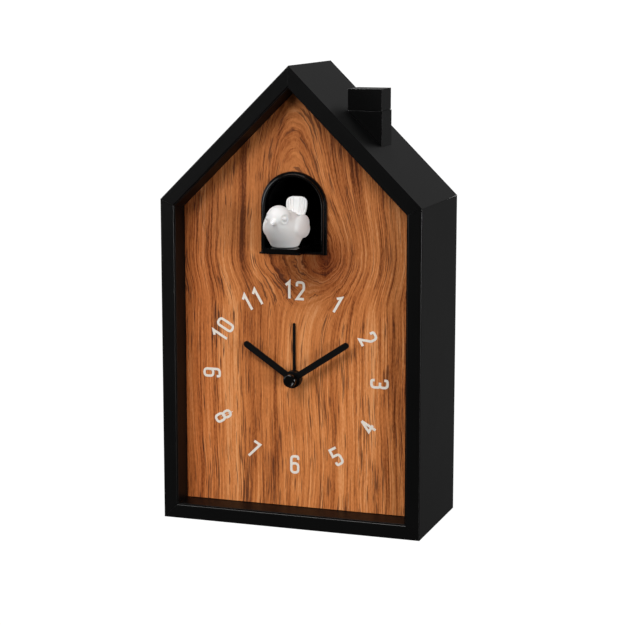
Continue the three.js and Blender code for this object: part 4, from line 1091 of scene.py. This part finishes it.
def hand_cap():
    """The domed cap on the hands' arbor, with a shallow dish in its face."""
    low, high = (corner.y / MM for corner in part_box("hand_cap"))
    radius = 3.6
    profile = [
        (0, high),
        (radius - 0.3, high),
        (radius, high - 0.3),
        (radius, low + 0.75),
        (radius - 0.12, low + 0.35),
        (radius - 0.4, low + 0.08),
        (radius - 0.7, low),
        (radius - 0.9, low + 0.06),
        (radius - 1.1, low + 0.16),
        (0, low + 0.2),
    ]
    piece = lathe("hand_cap_look", profile, (0, 0, AXIS_MM.z))
    install(piece, "black_gloss", "minute_train", "hand_cap")


hand_cap()


# ---------------------------------------------------------------- back of the clock

for node, width in (
    ("rear_cover", 0.35),
    ("battery_door", 0.3),
    ("alarm_switch", 0.3),
    ("chime_switch", 0.3),
    ("battery_tray", 0.3),
):
    rounded_copy(node, "black_plastic", width)
rounded_copy("niche_tunnel", "tunnel_black", 0.2)


def knurled_knob(node):
    """A setting knob with fine flutes round its edge and a shallow dish in its face."""
    low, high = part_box(node)
    x, z = (low.x + high.x) / 2 / MM, (low.z + high.z) / 2 / MM
    y_front, y_rear = low.y / MM, high.y / MM
    radius, flutes, per_flute, flute_deep = 7.5, 30, 4, 0.32
    bore_radius, bore_end = 1.22, y_front + 2.1
    sides = flutes * per_flute
    profile = [
        (bore_radius, y_front, 0),
        (radius - 0.9, y_front, 0),
        (radius - 0.35, y_front + 0.45, 0.3),
        (radius, y_front + 1.0, 1),
        (radius, y_rear - 0.9, 1),
        (radius - 0.3, y_rear - 0.35, 0.3),
        (radius - 0.9, y_rear, 0),
        (radius - 1.9, y_rear - 0.05, 0),
        (radius - 2.6, y_rear - 0.7, 0),
        (0, y_rear - 0.9, 0),
    ]
    points, faces, previous = [], [], None
    for ring_radius, y, depth in profile:
        count = 1 if ring_radius == 0 else sides
        ring = list(range(len(points), len(points) + count))
        for i in range(count):
            angle = TURN * i / sides
            dip = flute_deep * depth * (1 - math.cos(flutes * angle)) / 2
            r = ring_radius - dip
            points.append((x + r * math.cos(angle), y, z + r * math.sin(angle)))
        if previous is not None:
            faces += bridge(previous, ring)
        previous = ring
    bore = list(range(len(points), len(points) + sides))
    for i in range(sides):
        angle = TURN * i / sides
        points.append((x + bore_radius * math.cos(angle), bore_end, z + bore_radius * math.sin(angle)))
    centre = len(points)
    points.append((x, bore_end, z))
    faces += bridge([centre], bore) + bridge(bore, list(range(sides)))
    piece = mesh_piece(node + "_look", points, faces)
    face_outwards(piece)
    smooth(piece, 40)
    install(piece, "black_plastic", body_of(node), node)


knurled_knob("time_knob")
knurled_knob("alarm_knob")

for i in range(1, 5):
    rounded_copy(f"rear_screw_{i}", "steel", 0.12)
for i in range(1, 4):
    rounded_copy(f"battery_{i}", "cell_wrap", 0.3)
rounded_copy("test_button", "black_plastic", 0.3)


# ---------------------------------------------------------------- floor, light and camera

FRONT_GREY = (0.05, 0.05, 0.05)
REAR_FLOOR_GREY = (0.092, 0.092, 0.092)
REAR_SKY_GREY = (0.120, 0.120, 0.120)
ROOM_TURN = (-0.5, 0.35)  # the room grows lighter from front to back between these
STAGE_WHITE = 1.05
FLOOR_HALF_MM = 6000
FLOOR_GAP_MM = 0.15


def dim_room(tree, direction, rear_grey):
    """Dim grey in front of the clock and lighter grey behind it, by the Y of a place or a direction."""
    y = tree.nodes.new("ShaderNodeSeparateXYZ")
    tree.links.new(direction, y.inputs[0])
    share = tree.nodes.new("ShaderNodeMapRange")
    share.interpolation_type = "SMOOTHSTEP"
    share.inputs[1].default_value, share.inputs[2].default_value = ROOM_TURN
    tree.links.new(y.outputs[1], share.inputs[0])
    blend = tree.nodes.new("ShaderNodeMix")
    blend.data_type = "RGBA"
    blend.inputs[6].default_value = (*FRONT_GREY, 1)
    blend.inputs[7].default_value = (*rear_grey, 1)
    tree.links.new(share.outputs[0], blend.inputs[0])
    return blend.outputs[2]


def seen_or_felt(tree, seen, felt, output):
    """Shows the camera one thing and lights the clock with another."""
    path = tree.nodes.new("ShaderNodeLightPath")
    choose = tree.nodes.new("ShaderNodeMixShader")
    tree.links.new(path.outputs["Is Camera Ray"], choose.inputs[0])
    tree.links.new(felt, choose.inputs[1])
    tree.links.new(seen, choose.inputs[2])
    tree.links.new(choose.outputs[0], output)


def floor():
    """A wide white floor. The lacquer mirrors it as dim grey, lighter behind the clock."""
    half, z = FLOOR_HALF_MM, -FLOOR_GAP_MM
    corners = [(-half, -half, z), (half, -half, z), (half, half, z), (-half, half, z)]
    piece = mesh_piece("studio_floor", corners, [[0, 1, 2, 3]])
    material = bpy.data.materials.new("studio_floor")
    material.use_nodes = True
    tree = material.node_tree
    tree.nodes.clear()
    output = tree.nodes.new("ShaderNodeOutputMaterial")
    white = tree.nodes.new("ShaderNodeEmission")
    white.inputs[0].default_value = (1, 1, 1, 1)
    white.inputs[1].default_value = STAGE_WHITE
    dim = tree.nodes.new("ShaderNodeEmission")
    place = tree.nodes.new("ShaderNodeTexCoord")
    tree.links.new(dim_room(tree, place.outputs["Object"], REAR_FLOOR_GREY), dim.inputs[0])
    seen_or_felt(tree, white.outputs[0], dim.outputs[0], output.inputs[0])
    piece.data.materials.append(material)


def world():
    """White behind everything that the camera sees, and a dim room for light and reflections."""
    made = bpy.data.worlds.new("studio")
    made.use_nodes = True
    tree = made.node_tree
    tree.nodes.clear()
    output = tree.nodes.new("ShaderNodeOutputWorld")
    white = tree.nodes.new("ShaderNodeBackground")
    white.inputs[0].default_value = (STAGE_WHITE, STAGE_WHITE, STAGE_WHITE, 1)
    dim = tree.nodes.new("ShaderNodeBackground")
    place = tree.nodes.new("ShaderNodeTexCoord")
    tree.links.new(dim_room(tree, place.outputs["Generated"], REAR_SKY_GREY), dim.inputs[0])
    seen_or_felt(tree, white.outputs[0], dim.outputs[0], output.inputs[0])
    bpy.context.scene.world = made


def softbox(name, place, aim, size, power, color=(1, 1, 1)):
    light = bpy.data.lights.new(name, "AREA")
    light.shape = "RECTANGLE"
    light.size, light.size_y = size
    light.energy = power
    light.color = color
    lamp = bpy.data.objects.new(name, light)
    lamp.location = place
    lamp.rotation_euler = (Vector(aim) - Vector(place)).to_track_quat("-Z", "Y").to_euler()
    bpy.context.scene.collection.objects.link(lamp)


def camera():
    place, aim = Vector((0.3492, -1.0059, 0.3003)), Vector((0.0139, -0.0360, 0.1225))
    data = bpy.data.cameras.new("camera")
    data.lens = 110.84
    data.sensor_width = 36
    data.clip_start = 0.01
    data.clip_end = 100
    made = bpy.data.objects.new("camera", data)
    made.location = place
    made.rotation_euler = (aim - place).to_track_quat("-Z", "Y").to_euler()
    bpy.context.scene.collection.objects.link(made)
    bpy.context.scene.camera = made


floor()
world()
softbox("key", (-0.45, -1.2, 1.45), (0, 0, 0.12), (0.9, 0.9), 22.5)
softbox("right", (1.45, -0.8, 0.18), (0, 0, 0.12), (0.9, 0.4), 17)
softbox("left", (-1.3, -1.1, 0.35), (0, 0, 0.12), (0.8, 0.8), 8.5)
softbox("top", (0.1, 0.1, 1.6), (0, 0, 0.1), (1.2, 1.2), 3)
softbox("back", (-0.2, 0.9, 1.9), (0, 0, 0.12), (0.9, 0.9), 60)
camera()

scene = bpy.context.scene
scene.view_settings.view_transform = "Standard"
scene.view_settings.look = "None"
